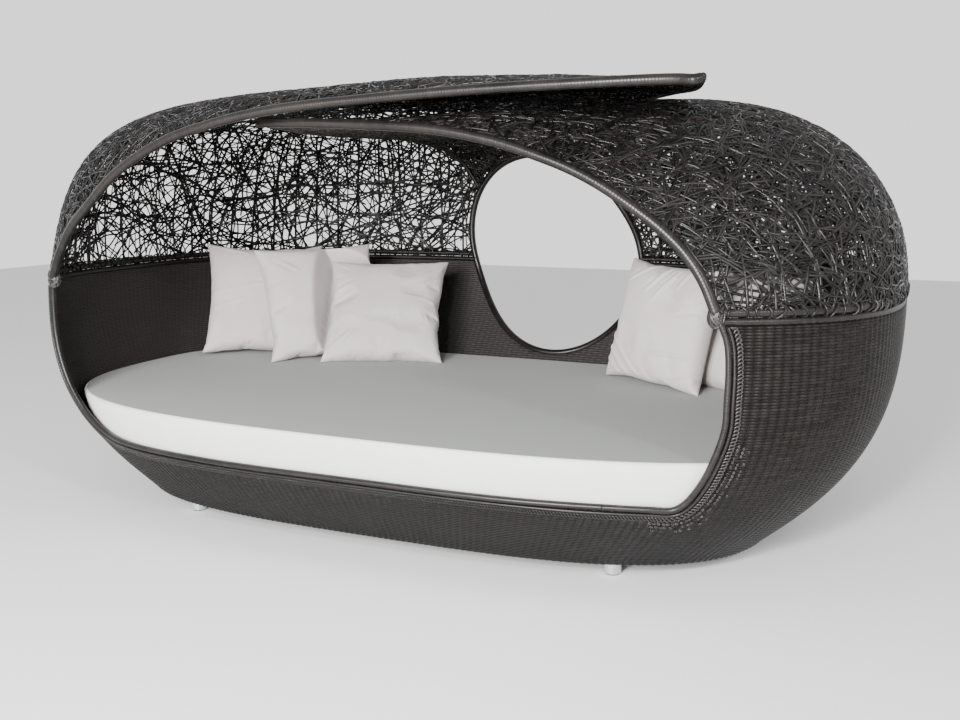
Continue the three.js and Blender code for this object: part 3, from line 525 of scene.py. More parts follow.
def loops(centres, first, second, thickness, segments):
    """Closed elliptic loops: centre + first * cos t + second * sin t, each a tube whose section turns
    between the loop's outward direction and the cross product of that and its run."""
    t = 2 * math.pi * np.arange(segments) / segments
    c, s = np.cos(t)[None, :, None], np.sin(t)[None, :, None]
    out = first[:, None] * c + second[:, None] * s
    run = unit(second[:, None] * c - first[:, None] * s)
    up = unit(out)
    side = np.cross(run, up)
    a = 2 * math.pi * np.arange(LOOP_SIDES) / LOOP_SIDES
    ring = side[:, :, None] * np.cos(a)[:, None] + up[:, :, None] * np.sin(a)[:, None]
    points = (centres[:, None] + out)[:, :, None] + thickness * ring
    rings = np.arange(len(centres) * segments).reshape(-1, segments)
    return points.reshape(-1, 3), joined(rings.ravel(), np.roll(rings, -1, 1).ravel(), LOOP_SIDES)


def loop_pieces(name, finish, form, shades):
    """One piece of all the loops of a form, with a shade for each loop."""
    points, quads = loops(*form)
    make_piece(name, points, quads, finish, shade=np.repeat(shades, len(points) // len(shades)))


# Finishes

class Quantity:
    """A socket of a node tree. Arithmetic on it adds Math nodes."""

    def __init__(self, finish, socket):
        self.finish = finish
        self.socket = socket

    def through(self, operation, *others):
        """The result of a Math node on this socket and others."""
        return self.finish.add("ShaderNodeMath", {"operation": operation}, self, *others)

    def __add__(self, other): return self.through("ADD", other)
    def __radd__(self, other): return self.through("ADD", other)
    def __sub__(self, other): return self.through("SUBTRACT", other)
    def __mul__(self, other): return self.through("MULTIPLY", other)
    def __rmul__(self, other): return self.through("MULTIPLY", other)
    def __truediv__(self, other): return self.through("DIVIDE", other)
    def __pow__(self, other): return self.through("POWER", other)
    def __abs__(self): return self.through("ABSOLUTE")


class Finish:
    """A material with its Principled shader."""

    def __init__(self, name, **constants):
        self.material = bpy.data.materials.new(name)
        self.material.use_nodes = True
        self.tree = self.material.node_tree
        self.shader = self.tree.nodes["Principled BSDF"]
        for label, value in constants.items():
            self.shader.inputs[label.replace("_", " ")].default_value = value

    def plug(self, socket, value):
        """Links a quantity to a socket, or sets the socket to a plain value."""
        if isinstance(value, Quantity):
            self.tree.links.new(value.socket, socket)
        else:
            socket.default_value = value

    def add(self, kind, settings=None, *values, output=0, **named):
        """A node of a kind: its settings first, then values or links by place or by name."""
        node = self.tree.nodes.new(kind)
        for label, value in (settings or {}).items():
            setattr(node, label, value)
        for socket, value in zip(node.inputs, values):
            self.plug(socket, value)
        for label, value in named.items():
            self.plug(node.inputs[label.replace("_", " ")], value)
        return Quantity(self, node.outputs[output])

    def place(self):
        """Place in the piece's own space."""
        return self.add("ShaderNodeTexCoord", output="Object")

    def parts(self, vector):
        """The three numbers of a vector."""
        split = self.add("ShaderNodeSeparateXYZ", None, vector)
        return [Quantity(self, socket) for socket in split.socket.node.outputs]

    def across(self):
        """The two numbers of the UV map."""
        return self.parts(self.add("ShaderNodeUVMap", {"uv_map": "UVMap"}))[:2]

    def shade(self):
        """The mesh's number for each point."""
        return self.add("ShaderNodeAttribute", {"attribute_name": "shade"}, output="Fac")

    def noise(self, vector, scale, detail=2.0):
        """Smooth random number, mostly 0.3 to 0.7, over a vector times a scale."""
        return self.add("ShaderNodeTexNoise", None, Vector=vector, Scale=scale, Detail=detail)

    def vector(self, x, y):
        """Level vector of two quantities or values."""
        return self.add("ShaderNodeCombineXYZ", None, x, y)

    def blend(self, share, low, high):
        """Colour from low to high by a share."""
        mix = self.add("ShaderNodeMix", {"data_type": "RGBA"}, share, output=2)
        self.plug(mix.socket.node.inputs[6], low)
        self.plug(mix.socket.node.inputs[7], high)
        return mix

    def ramp(self, value, low, high):
        """0 to 1 as the value goes from low to high."""
        return self.add("ShaderNodeMapRange", None, value, low, high, 0.0, 1.0)

    def give(self, **values):
        """Plugs quantities into the shader, and returns the finished material."""
        for label, value in values.items():
            self.plug(self.shader.inputs[label.replace("_", " ")], value)
        return self.material

    def bump(self, height, distance, strength, **more):
        """Normal bent by the slope of a height times a distance."""
        return self.add("ShaderNodeBump", None, Strength=strength, Distance=distance, Height=height, **more)


def tint(r, g, b):
    """Colour without transparency."""
    return (r, g, b, 1.0)


def strand_finish(name, low, high, gloss):
    """Espresso strand, semi-gloss, each a little lighter or browner than the next, with fine lines
    along it."""
    f = Finish(name, Specular_IOR_Level=gloss)
    shade = f.shade()
    place = f.place()
    cloud = f.noise(place, 3.0)
    fleck = f.noise(place, 160.0, 3.0)
    dark = f.blend(shade ** 2.0, low, high)
    colour = f.blend(f.ramp(cloud, 0.4, 0.75) * 0.3, dark, tint(0.013, 0.0125, 0.0135))
    rough = 0.14 + 0.16 * fleck + 0.1 * shade
    return f.give(Base_Color=colour, Roughness=rough, Normal=f.bump(fleck, 0.0008, 0.4))


def tape_finish(name, light, dark):
    """Tape wound round a tube: fine slanted lines along each turn, patches of wear, and painted shade
    that darkens the grooves between turns."""
    f = Finish(name, Specular_IOR_Level=0.34)
    run, turn = f.across()
    wind = run / TAPE_PITCH + turn
    saw = wind.through("FRACT")
    groove = f.ramp(abs(saw - 0.5), 0.38, 0.5)
    line = f.noise(f.vector(run * 900.0, turn * 3.0), 1.0, 3.0)
    turnwise = f.noise(f.vector(wind.through("FLOOR") * 3.7, 0.0), 1.0, 0.0)
    patch = f.noise(f.place(), 5.0, 3.0)
    base = f.blend(f.ramp(patch, 0.35, 0.7), dark, light)
    worn = tint(*(1.5 * part for part in light[:3]))
    base = f.blend(f.ramp(turnwise, 0.45, 0.75) * 0.5, base, worn)
    # Painted shade: the grooves between turns are darkened.
    colour = f.blend(groove * 0.75, base, tint(0.006, 0.005, 0.005))
    height = line * 0.3 - groove
    rough = 0.22 + 0.18 * line
    return f.give(Base_Color=colour, Roughness=rough, Normal=f.bump(height, 0.0004, 0.7))


def weave_finish():
    """Close weave: level strands, a row pitch apart, go over and under upright stakes in turn. The
    height is the strand's round section times a wave along it that shifts by a stake each row."""
    f = Finish("close_weave", Specular_IOR_Level=0.15)
    stakes, rows = f.across()
    row = rows.through("FLOOR")
    section = abs((math.pi * rows).through("SINE")) ** 0.6
    wave = (math.pi * (stakes + row)).through("COSINE")
    rib = 0.5 + 0.5 * (2 * math.pi * stakes).through("COSINE")
    height = section * (0.7 + 0.14 * wave) + 0.5 * rib
    along = f.noise(f.vector(stakes * 0.35, row * 5.3), 1.0, 2.0)
    grain = f.noise(f.vector(stakes * 2.0, rows * 9.0), 1.0, 3.0)
    place = f.place()
    cloud = f.noise(place, 2.2, 2.0)
    level = f.parts(place)[2]
    base = f.blend(f.ramp(along, 0.3, 0.72), tint(0.0035, 0.003, 0.0028), tint(0.0165, 0.013, 0.0112))
    base = f.blend(f.ramp(cloud, 0.45, 0.75) * 0.35, base, tint(0.012, 0.012, 0.0132))
    # Painted shade: the weave's colour darkens towards the bottom of the shell.
    base = f.blend(f.ramp(level, 0.34, 0.06) * 0.75, base, tint(0.0035, 0.0032, 0.003))
    # Painted light: the inner skin, whose shade is 1, is made lighter than the outer skin to stand in for
    # light inside the nest.
    inside = f.blend(f.shade() * 0.65, base, tint(0.062, 0.056, 0.055))
    # Painted shade: the colour darkens to near black where the strands' section dips, between rows and
    # between ribs.
    depth = section * (0.8 + 0.2 * wave) + 0.25 * rib
    colour = f.blend(f.ramp(depth, 0.1, 0.8), tint(0.003, 0.0028, 0.0028), inside)
    rough = 0.26 + 0.22 * grain
    return f.give(Base_Color=colour, Roughness=rough, Normal=f.bump(height + 0.12 * grain, 0.0036, 0.9))


def cloth_finish(name, light, dark):
    """Plain woven cloth: crossing threads as bump, soft blotches of light and dark, and as much
    darker as its shade says: painted shade, a little greener."""
    f = Finish(name, Roughness=0.9, Sheen_Weight=0.15, Sheen_Roughness=0.5)
    place = f.place()
    x, y, z = f.parts(place)
    weft = ((x + z) * THREAD).through("SINE")
    warp = ((y - z) * THREAD).through("SINE")
    cloud = f.noise(place, 6.0, 4.0)
    fine = f.noise(place, 420.0, 2.0)
    even = f.blend(f.ramp(cloud, 0.3, 0.7), dark, light)
    # Painted shade: the shade attribute darkens the cloth to about a third, a little greener.
    colour = f.blend(f.shade(), even, tint(dark[0] * 0.33, dark[1] * 0.355, dark[2] * 0.34))
    height = weft * warp * 0.5 + fine
    creased = f.bump(f.noise(place, 11.0, 3.0), 0.01, 0.12)
    return f.give(Base_Color=colour, Normal=f.bump(height, 0.0005, 0.35, Normal=creased))


def plain_finish(name, colour, spot, rough, metal=0.0, grain=60.0, stretch=(1.0, 1.0, 1.0), depth=0.0002):
    """Coated, moulded or brushed surface: two close colours in a fine pattern stretched one way."""
    f = Finish(name, Metallic=metal)
    mapping = f.add("ShaderNodeMapping", None, f.place(), Scale=stretch)
    fine = f.noise(mapping, grain, 4.0)
    broad = f.noise(f.place(), 4.0, 2.0)
    shade = f.blend(f.ramp(fine * 0.6 + broad * 0.4, 0.35, 0.65), colour, spot)
    return f.give(Base_Color=shade, Roughness=rough + 0.18 * (fine - 0.5), Normal=f.bump(fine, depth, 0.5))


STRAND = strand_finish("canopy_strand", tint(0.0025, 0.0023, 0.0023), tint(0.021, 0.018, 0.0165), 0.3)
RIM_TAPE = tape_finish("rim_tape", tint(0.015, 0.0122, 0.0106), tint(0.004, 0.0036, 0.0036))
# Its light tint is partly the strand's own colour and partly painted glints; the braid, the stitches and the
# knots use it.
BRAID = strand_finish("strand_with_painted_glints", tint(0.008, 0.007, 0.0065), tint(0.06, 0.054, 0.05), 0.5)
RAIL_TAPE = tape_finish("rail_tape", tint(0.014, 0.0115, 0.0105), tint(0.004, 0.0035, 0.0035))
WEAVE = weave_finish()
MATTRESS_CLOTH = cloth_finish("mattress_canvas", tint(0.74, 0.735, 0.715), tint(0.7, 0.695, 0.675))
CUSHION_CLOTH = cloth_finish("cushion_cotton", tint(0.56, 0.52, 0.505), tint(0.50, 0.46, 0.445))
COATED = plain_finish("coated_tube", tint(0.028, 0.028, 0.03), tint(0.045, 0.045, 0.048), 0.5)
BOARD = plain_finish("deck_board", tint(0.1, 0.07, 0.045), tint(0.16, 0.115, 0.075), 0.6, grain=9.0,
                     stretch=(1.0, 14.0, 14.0))
BRUSHED = plain_finish("brushed_foot", tint(0.62, 0.63, 0.65), tint(0.74, 0.75, 0.77), 0.34, metal=1.0,
                       grain=30.0, stretch=(1.0, 1.0, 26.0), depth=0.0001)
STEEL = plain_finish("plain_steel", tint(0.42, 0.43, 0.44), tint(0.56, 0.57, 0.58), 0.42, metal=1.0,
                     grain=90.0)
MOULDED = plain_finish("moulded_glide", tint(0.02, 0.02, 0.021), tint(0.032, 0.032, 0.034), 0.55, grain=240.0)


# Nest shell

def stake_turns():
    """Turns that divide the belt's outline into equal columns, and how many stakes they hold."""
    dense, run = belt_run(0, 4001)
    stakes = int(run[-1] / STAKE_PITCH / 2) * 2
    return np.interp(np.linspace(0, run[-1], stakes * COLUMNS_PER_STAKE + 1)[:-1], run, dense), stakes


def walled(keep, outer, inner, across, up):
    """Both skins of a wall over a closed grid of across columns by up levels, faces where keep is
    true, joined along every open edge."""
    i, j = np.nonzero(keep)
    right = (i + 1) % across
    a, b, c, d = i * up + j, right * up + j, right * up + j + 1, i * up + j + 1
    count = across * up
    front = np.stack([a, b, c, d], 1)
    back = np.stack([d, c, b, a], 1) + count
    edges = np.concatenate([np.stack(pair, 1) for pair in ((a, b), (b, c), (c, d), (d, a))])
    key = np.sort(edges, 1)
    code = key[:, 0].astype(np.int64) * count + key[:, 1]
    _, first, times = np.unique(code, return_index=True, return_counts=True)
    rim = edges[first[times == 1]]
    sides = np.stack([rim[:, 1], rim[:, 0], rim[:, 0] + count, rim[:, 1] + count], 1)
    quads = np.concatenate([front, back, sides])
    used, quads = np.unique(quads, return_inverse=True)
    return np.concatenate([outer, inner])[used], quads.reshape(-1, 4), used


def woven_nest():
    """The nest wall with a rib over each stake: the outer skin stands out by half a rib times
    cos(2 pi stake), and the inner skin follows it a wall's thickness inside."""
    turns, stakes = stake_turns()
    levels = np.linspace(GROUND_CLEARANCE, BELT - RAIL + 0.004, NEST_LEVELS)
    across, up = len(turns), len(levels)
    grid_turn, grid_z = np.meshgrid(turns, levels, indexing="ij")
    stake = np.arange(across)[:, None] / COLUMNS_PER_STAKE + 0 * grid_z
    rib = RIB * np.cos(2 * math.pi * stake)
    outer = on_nest(grid_turn, grid_z, RIB + 0.0001 - rib)
    inner = on_nest(grid_turn, grid_z, WALL - rib)
    height = lengths(on_nest(np.full(up, -math.pi / 2), levels, 0))
    uv = np.stack([stake, np.broadcast_to(height / ROW_PITCH, stake.shape)], -1).reshape(-1, 2)
    middle = (outer[:, :-1] + np.roll(outer, -1, 0)[:, :-1] + outer[:, 1:] + np.roll(outer, -1, 0)[:, 1:]) / 4
    flat = middle.reshape(-1, 3)
    mouth = beside(mouth_line(160)[:, [0, 2]], -PAST_MOUTH)
    opening = np.vstack([mouth, [[mouth[-1, 0], 2], [mouth[0, 0], 2]]])
    gone = within(opening, flat[:, [0, 2]]) & (flat[:, 1] < 0)
    gone |= over_porthole(flat)
    keep = ~gone.reshape(across, up - 1)
    points, quads, used = walled(keep, outer.reshape(-1, 3), inner.reshape(-1, 3), across, up)
    both = np.concatenate([uv, uv])[used]
    # The inner skin's points get shade 1, which the weave's finish turns into painted light.
    inner_skin_painted_light = used >= across * up
    piece = make_piece("woven_nest", points, quads, WEAVE, ["nest_shell"], both, inner_skin_painted_light)
    unwrap_seam(piece, stakes)


def unwrap_seam(piece, stakes):
    """Corners of the faces that close the ring count on past the last stake."""
    layer = piece.data.uv_layers["UVMap"]
    uv = np.zeros(len(piece.data.loops) * 2, np.float32)
    layer.data.foreach_get("uv", uv)
    quad = uv.reshape(-1, 4, 2)
    wide = quad[:, :, 0].max(1) - quad[:, :, 0].min(1) > stakes / 2
    quad[wide, :, 0] += np.where(quad[wide, :, 0] < stakes / 2, stakes, 0)
    layer.data.foreach_set("uv", quad.ravel())


# Canopy weave

def start_points(leaf, count, rng, front_share):
    """Points spread over the leaf: cells of a grid over it are drawn by their area, times front_share
    on the front half, and each point falls anywhere in its cell."""
    x = -HALF_LENGTH * np.cos(np.linspace(0.02, math.pi - 0.02, LEAF_CELLS))
    x = x[x < 1.0] if leaf["vault"] else x
    share = np.linspace(0.003, 0.997, LEAF_CELLS)
    grid = leaf_section(leaf, x[:, None], share[None, :], LEAF_WALL / 2)
    a, b = grid[1:, :-1] - grid[:-1, :-1], grid[:-1, 1:] - grid[:-1, :-1]
    area = np.linalg.norm(np.cross(a, b), axis=-1)
    area = area * np.where(grid[:-1, :-1, 1] < 0, front_share, 1)
    cell = rng.choice(area.size, count, p=(area / area.sum()).ravel())
    i, j = np.unravel_index(cell, area.shape)
    u, v = rng.random((2, count, 1))
    return onto_leaf(leaf, grid[i, j] + u * a[i, j] + v * b[i, j], LEAF_WALL / 2)


def laid_strands(leaf, starts, headings, bend, steps):
    """Lines laid over the leaf, all at once: each goes a step along its run, falls back onto the
    leaf, and turns about the normal by its bend times the step. Returns points and normals."""
    inset = LEAF_WALL / 2
    at = starts
    normal = leaf_normal(leaf, at, inset)
    across = unit(np.cross(normal, [0.0, 0.0, 1.0]))
    level = np.cross(across, normal)
    run = np.cos(headings)[:, None] * across + np.sin(headings)[:, None] * level
    path, facing = [at], [normal]
    for k in range(steps):
        ahead = onto_leaf(leaf, at + STRAND_STEP * run, inset)
        normal = leaf_normal(leaf, ahead, inset)
        run = unit(ahead - at)
        run = unit(run - np.sum(run * normal, -1, keepdims=True) * normal)
        turn = (bend(k) * STRAND_STEP)[:, None]
        run = unit(run + turn * np.cross(normal, run))
        at = ahead
        path.append(at)
        facing.append(normal)
    return np.stack(path, 1), np.stack(facing, 1)


def kept_on(outlines, points):
    """Whether points stay on the leaf: above the belt, short of its rims and off the porthole."""
    ahead, behind = outlines
    flat = points.reshape(-1, 3)
    gone = flat[:, 2] < CANOPY_BASE
    gone |= within(ahead, seen(flat, FRONT_UP))
    gone |= within(behind, seen(flat, REAR_UP))
    gone |= over_porthole(flat)
    return ~gone.reshape(points.shape[:-1])


def strand_meshes(path, facing, keep, outlines, width, height, lift, shade):
    """Flattened four-sided strands along the kept parts of lines. An end that would leave the leaf
    is drawn back to its edge by halving. The section's corners lie half a width to either side and
    half a height up and down."""
    count = keep.shape[1]
    path = path.copy()
    for shift in (1, -1):
        beyond = np.roll(keep, shift, 1) & ~keep
        beyond[:, 0 if shift > 0 else -1] = False
        i, j = np.nonzero(beyond)
        last, way = path[i, j - shift], path[i, j] - path[i, j - shift]
        share = farthest(lambda m: kept_on(outlines, last + way * m[:, None]), np.zeros(len(i)),
                         np.ones(len(i)), 8)
        path[i, j] = last + way * share[:, None]
    span = keep[:, :-1] | keep[:, 1:]
    run = unit(np.gradient(path, axis=1))
    side = unit(np.cross(run, facing))
    middle = path + facing * lift[..., None]
    w = np.broadcast_to(np.asarray(width), keep.shape)[..., None] / 2
    corners = np.stack([middle - side * w, middle + facing * height / 2, middle + side * w,
                        middle - facing * height / 2], 2)
    i, j = np.nonzero(span)
    base = (i * count + j) * 4
    k = np.arange(4)
    here, there = base[:, None] + k, base[:, None] + 4 + k
    quads = np.stack([here, np.roll(here, -1, 1), np.roll(there, -1, 1), there], -1).reshape(-1, 4)
    edge = np.pad(span, ((0, 0), (1, 1)))
    for ends, corner in ((edge[:, 1:] & ~edge[:, :-1], k[::-1]), (edge[:, :-1] & ~edge[:, 1:], k)):
        i, j = np.nonzero(ends)
        quads = np.concatenate([quads, (i * count + j)[:, None] * 4 + corner])
    used, quads = np.unique(quads, return_inverse=True)
    tone = np.repeat(np.broadcast_to(shade[:, None], keep.shape).reshape(-1), 4)
    return corners.reshape(-1, 3)[used], quads.reshape(-1, 4), tone[used]


def evenly_chosen(path, keep, length, fullness):
    """Which lines to keep, picked a few at a time, until their kept length is reached: always those
    that run where the least is laid so far, in cells of the space they cross, for the fullness
    wanted there."""
    cell = np.floor(path / STRAND_CELL).astype(np.int64)
    code = (cell[..., 0] + 128) * 65536 + (cell[..., 1] + 128) * 256 + cell[..., 2] + 64
    _, place, code = np.unique(code, return_index=True, return_inverse=True)
    code = code.reshape(keep.shape)
    wanted = fullness(path.reshape(-1, 3)[place])
    run = keep.sum(1) * STRAND_STEP
    chosen = np.zeros(len(keep), bool)
    while run[chosen].sum() < length:
        laid = np.bincount(code[chosen][keep[chosen]], minlength=len(wanted)) / wanted
        score = np.sum(laid[code] * keep, 1) / np.maximum(keep.sum(1), 1)
        score[chosen | (run < SHORTEST_STRAND)] = np.inf
        pick = np.argsort(score)[:STRAND_PICKS]
        if not np.isfinite(score[pick[0]]):
            break
        chosen[pick] = True
    return chosen


def woven_leaf(leaf, outlines, length, seed, front_share):
    """Strands laid at random over a leaf, each both ways from its start, until their kept length
    reaches the wanted one. Returns points, normals, which points are kept, and each strand's lift,
    width and shade."""
    rng = np.random.default_rng(seed)
    count = int(length * STRANDS_PER_METRE)
    starts = start_points(leaf, count, rng, front_share)
    headings = rng.uniform(0, 2 * math.pi, count)
    base = rng.normal(0, 1.1, count)
    sway, phase = rng.uniform(0.5, 1.5, count), rng.uniform(0, 2 * math.pi, count)
    halves = []
    for sign in (1, -1):
        def bend(k):
            """Bend at step k: an even one plus a wave along the strand."""
            return sign * (base + 3.2 * np.sin(phase + sign * sway * k * STRAND_STEP * 14))

        turned = headings if sign > 0 else headings + math.pi
        halves.append(laid_strands(leaf, starts, turned, bend, STRAND_REACH))
    path, facing = (np.concatenate([back[:, :0:-1], ahead], 1) for ahead, back in zip(*halves))
    keep = kept_on(outlines, path)
    reach = rng.uniform(0.5, 1.0, (count, 2)) * STRAND_REACH
    place = np.arange(2 * STRAND_REACH + 1)[None, :] - STRAND_REACH
    keep &= (place < reach[:, :1]) & (place > -reach[:, 1:])

    def fullness(p):
        """How much strand a place is to get, 1 being the leaf's usual amount."""
        if leaf["vault"]:
            more = 0.9 * smoothstep(p[:, 0], 0.1, 0.5)
        else:
            more = 0.8 * (1 - smoothstep(p[:, 0], -0.25, 0.05)) * (p[:, 1] > 0)
        return 1 + more + (front_share - 1) * (p[:, 1] < 0)

    pick = evenly_chosen(path, keep, length, fullness)
    path, facing, keep, phase = path[pick], facing[pick], keep[pick], phase[pick]
    count = len(path)
    along = np.arange(2 * STRAND_REACH + 1)[None, :] * STRAND_STEP
    lift = STRAND_WAVE * np.sin(2 * math.pi * along / rng.uniform(0.09, 0.2, (count, 1)) + phase[:, None])
    lift = lift + rng.uniform(-0.001, 0.001, (count, 1))
    width = rng.uniform(0.85, 1.2, (count, 1)) * STRAND_WIDTH
    return path, facing, keep, lift, width, rng.random(count)


def leaf_stakes(leaf, outlines, seed):
    """Stakes that start on the belt a stake spacing apart and run straight up the leaf."""
    rng = np.random.default_rng(seed)
    dense, run = belt_run(LEAF_WALL / 2, 2001)
    turns = np.interp(np.arange(0.03, run[-1], STAKE_SPACING), run, dense)
    starts = on_nest(turns, np.full(len(turns), BELT), LEAF_WALL / 2)
    starts[:, 2] = CANOPY_BASE + 0.002
    starts = starts[starts[:, 0] < 1.0] if leaf["vault"] else starts
    starts = onto_leaf(leaf, starts, LEAF_WALL / 2)
    none = np.zeros(len(starts))
    path, facing = laid_strands(leaf, starts, none + math.pi / 2, lambda k: none, STAKE_STEPS)
    keep = kept_on(outlines, path)
    keep[:, 0] |= keep[:, 1]
    keep = np.cumprod(keep, 1).astype(bool)
    shade = rng.random(len(starts)) * 0.5
    lift = np.zeros(keep.shape)
    return strand_meshes(path, facing, keep, outlines, STAKE_WIDTH, STAKE_HEIGHT, lift, shade)


def weave_leaf(name, leaf, node, outlines, length, seed, front_share, pale):
    """The strands of a leaf in three pieces, and its stakes in one."""
    path, facing, keep, lift, width, shade = woven_leaf(leaf, outlines, length, seed, front_share)
    for k, pick in enumerate(np.array_split(np.arange(len(keep)), 3)):
        # Painted shade: the strands' shade is multiplied by pale, so a pale below 1 darkens the leaf's
        # strands.
        points, quads, tone = strand_meshes(path[pick], facing[pick], keep[pick], outlines, width[pick],
                                            STRAND_HEIGHT, lift[pick], shade[pick] * pale)
        make_piece(f"{name}_strands_{k + 1}", points, quads, STRAND, [node] if k == 0 else (), shade=tone)
    points, quads, tone = leaf_stakes(leaf, outlines, seed + 7)
    make_piece(f"{name}_stakes", points, quads, STRAND, shade=tone)


def build_canopy():
    """Both leaves: 1,060 m of strand in the left one, 1,180 m in the right one."""
    left = past_rims(left_front, left_rear, 1)
    right = past_rims(right_front, right_rear, -1)
    # The left leaf's pale of 0.75 darkens its strands as painted shade.
    weave_leaf("left_leaf", LEFT, "canopy_leaf_left", left, 1060, seed=11, front_share=1.35, pale=0.75)
    weave_leaf("right_leaf", RIGHT, "canopy_leaf_right", right, 1180, seed=23, front_share=1.25, pale=1.0)


# Rims, belt, mouth edge and porthole ring

def off_porthole(line):
    """The line without what lies over the porthole at the back."""
    return line[~over_porthole(line)]


def belt_line(side, height):
    """Middle of a belt rail at a height, from a side's front rim back to the porthole. The rim's turn
    is the angle of (x / length, y / depth)."""
    x, whole = {"left": (LEFT_FRONT[0][0], 2 * math.pi), "right": (RIGHT_FRONT[0][0], 0)}[side]
    x *= HALF_LENGTH
    y = nest_depth(np.array(x), BELT, RAIL, -1)
    start = math.atan2(y / (HALF_DEPTH - RAIL), x / (HALF_LENGTH - RAIL)) + whole
    line = on_nest(np.linspace(start, math.pi / 2, 400), np.full(400, BELT), RAIL)
    line[:, 2] = height
    return off_porthole(line)


def build_belt():
    """Two wound rails, one over the other, from each front rim back to the porthole."""
    for level, height in (("lower", BELT), ("upper", CANOPY_BASE)):
        for side in ("left", "right"):
            wound_tube(f"{level}_belt_{side}", belt_line(side, height), RAIL, [f"{level}_belt_rail_{side}"],
                       RAIL_TAPE, 14, groove=0.0005)


def build_rims():
    """Front and rear rim of each leaf."""
    for side, front, rear in (("left", left_front, left_rear), ("right", right_front, right_rear)):
        wound_tube(f"{side}_front_rim", front, RIM, [f"{side}_leaf_front_rim"], RIM_TAPE)
        wound_tube(f"{side}_rear_rim", off_porthole(rear), REAR_RIM, [f"{side}_leaf_rear_rim"], RIM_TAPE, 14)


def build_porthole():
    """Ring of tube laid on the back wall along the porthole, parted at the belt."""
    turns = np.linspace(0, 2 * math.pi, 400)
    flat = porthole_outline(PORTHOLE_TUBE, turns)
    ring = np.stack([flat[:, 0], back_wall(flat[:, 0], flat[:, 1]), flat[:, 1]], 1)
    middle = BELT + RAIL_PITCH / 2
    above = ring[:, 2] > middle
    start = int(np.argmax(~above & np.roll(above, 1)))
    ring, above = np.roll(ring, -start, 0), np.roll(above, -start)
    low = int(np.argmax(above))
    halves = {"lower": ring[:low + 1], "upper": np.vstack([ring[low:], ring[:1]])}
    for name, half in halves.items():
        wound_tube(f"porthole_edge_{name}", half, PORTHOLE_EDGE, [f"porthole_ring_{name}"], RAIL_TAPE)


def build_mouth():
    """Tube along the mouth's edge in three lengths, parted where the CAD solids are."""
    line = mouth_line(400)
    for name, node, start, end in (("left", "mouth_edge_left", 0, 109), ("lip", "lip_rail", 108, 305),
                                   ("right", "mouth_edge_right", 304, 401)):
        wound_tube(f"mouth_border_{name}", line[start:end], MOUTH_TUBE, [node], RAIL_TAPE, 14)


def round_mouth(distance, lift, count):
    """Line on the nest wall outside its mouth, a distance from its edge and lifted off the wall
    along the outward direction of the plan, (|x|^(n-1) / length^n, |y|^(n-1) / depth^n)."""
    inner = slice(4, -4)
    edge = mouth_line(count)[inner]
    flat = beside(edge[:, [0, 2]], -np.broadcast_to(distance, count + 1)[inner, None])
    x, z = flat[:, 0], np.clip(flat[:, 1], GROUND_CLEARANCE, BELT - RAIL)
    y = nest_depth(x, z, 0.0, -1)
    length, front, _, n = nest_plan(z, 0.0)
    across, ahead = np.abs(x / length) ** (n - 1) / length, np.abs(y / front) ** (n - 1) / front
    out = unit(np.stack([np.sign(x) * across, -ahead, 0 * x], 1))
    return np.stack([x, y, z], 1) + out * np.broadcast_to(lift, count + 1)[inner, None], out


def build_braid():
    """Two strands crossing each other beside the mouth edge: each swings sideways as
    sin(2 pi run / pitch) and up as its cosine, half a pitch apart. A slim wound tube runs between
    them and the edge."""
    run = lengths(mouth_line(BRAID_STEPS))
    for k, name in enumerate(("braid_over", "braid_under")):
        wave = 2 * math.pi * run / BRAID_PITCH + k * math.pi
        line, out = round_mouth(BRAID_OFFSET + BRAID_SWING * np.sin(wave),
                                0.0022 + BRAID_HEIGHT * np.cos(wave), BRAID_STEPS)
        points, faces = tube(line, np.full(len(line), BRAID_STRAND), out, 5)
        # Painted glints: the braid's shade rises towards the right end, so it is lighter there and darker
        # along the lip and the left side.
        make_piece(name, points, faces, BRAID, shade=0.6 * smoothstep(points[:, 0], 0.5, 1.05))
    line, out = round_mouth(MOUTH_TUBE + 0.0045, 0.002, 900)
    wound_tube("mouth_inner_band", line, INNER_BAND, (), RAIL_TAPE, 8)


def build_stitches():
    """Small loops of strand in rows outside the braid, beside the mouth's lower right corner:
    ellipses flat on the wall, their long axis along the row. A row is given by its distance from the
    edge and the share of it that is missing."""
    rng = np.random.default_rng(6)
    spots = []
    for distance, gap in STITCH_ROWS:
        line, out = round_mouth(distance, 0.0016, 1200)
        run = lengths(line)
        pick = np.searchsorted(run, np.arange(0.002, run[-1], STITCH_SPACING))
        along = unit(np.gradient(line, axis=0))[pick]
        row = np.stack([line[pick], along, np.cross(along, out[pick])], 1)
        spots.append(row[rng.random(len(pick)) > gap])
    middle, along, across = np.concatenate(spots).transpose(1, 0, 2)
    near = (middle[:, 0] > 0.84) & (middle[:, 2] < 0.44)
    middle, along, across = middle[near], along[near], across[near]
    loop_pieces("mouth_stitches", BRAID, (middle, along * 0.0036, across * 0.0022, 0.0013, 8),
                0.35 + 0.65 * rng.random(len(middle)))


def build_lashings():
    """Strand loops round the upper belt rail, each tilted along it at random."""
    rng = np.random.default_rng(5)
    for side in ("left", "right"):
        line = belt_line(side, CANOPY_BASE)
        count = int(lengths(line)[-1] / LASHING_SPACING)
        centres = respaced(line, count)[1:-1]
        run = unit(np.gradient(centres, axis=0))
        reach = RAIL + rng.uniform(0.001, 0.0045, (len(centres), 1))
        first = unit(centres * [1, 1, 0]) * reach + run * rng.normal(0, TILT, (len(centres), 1))
        second = np.array([0, 0, 1]) * (reach + 0.001) + run * rng.normal(0, TILT, (len(centres), 1))
        loop_pieces(f"belt_lashings_{side}", STRAND, (centres, first, second, 0.0028, 14),
                    rng.random(len(centres)))


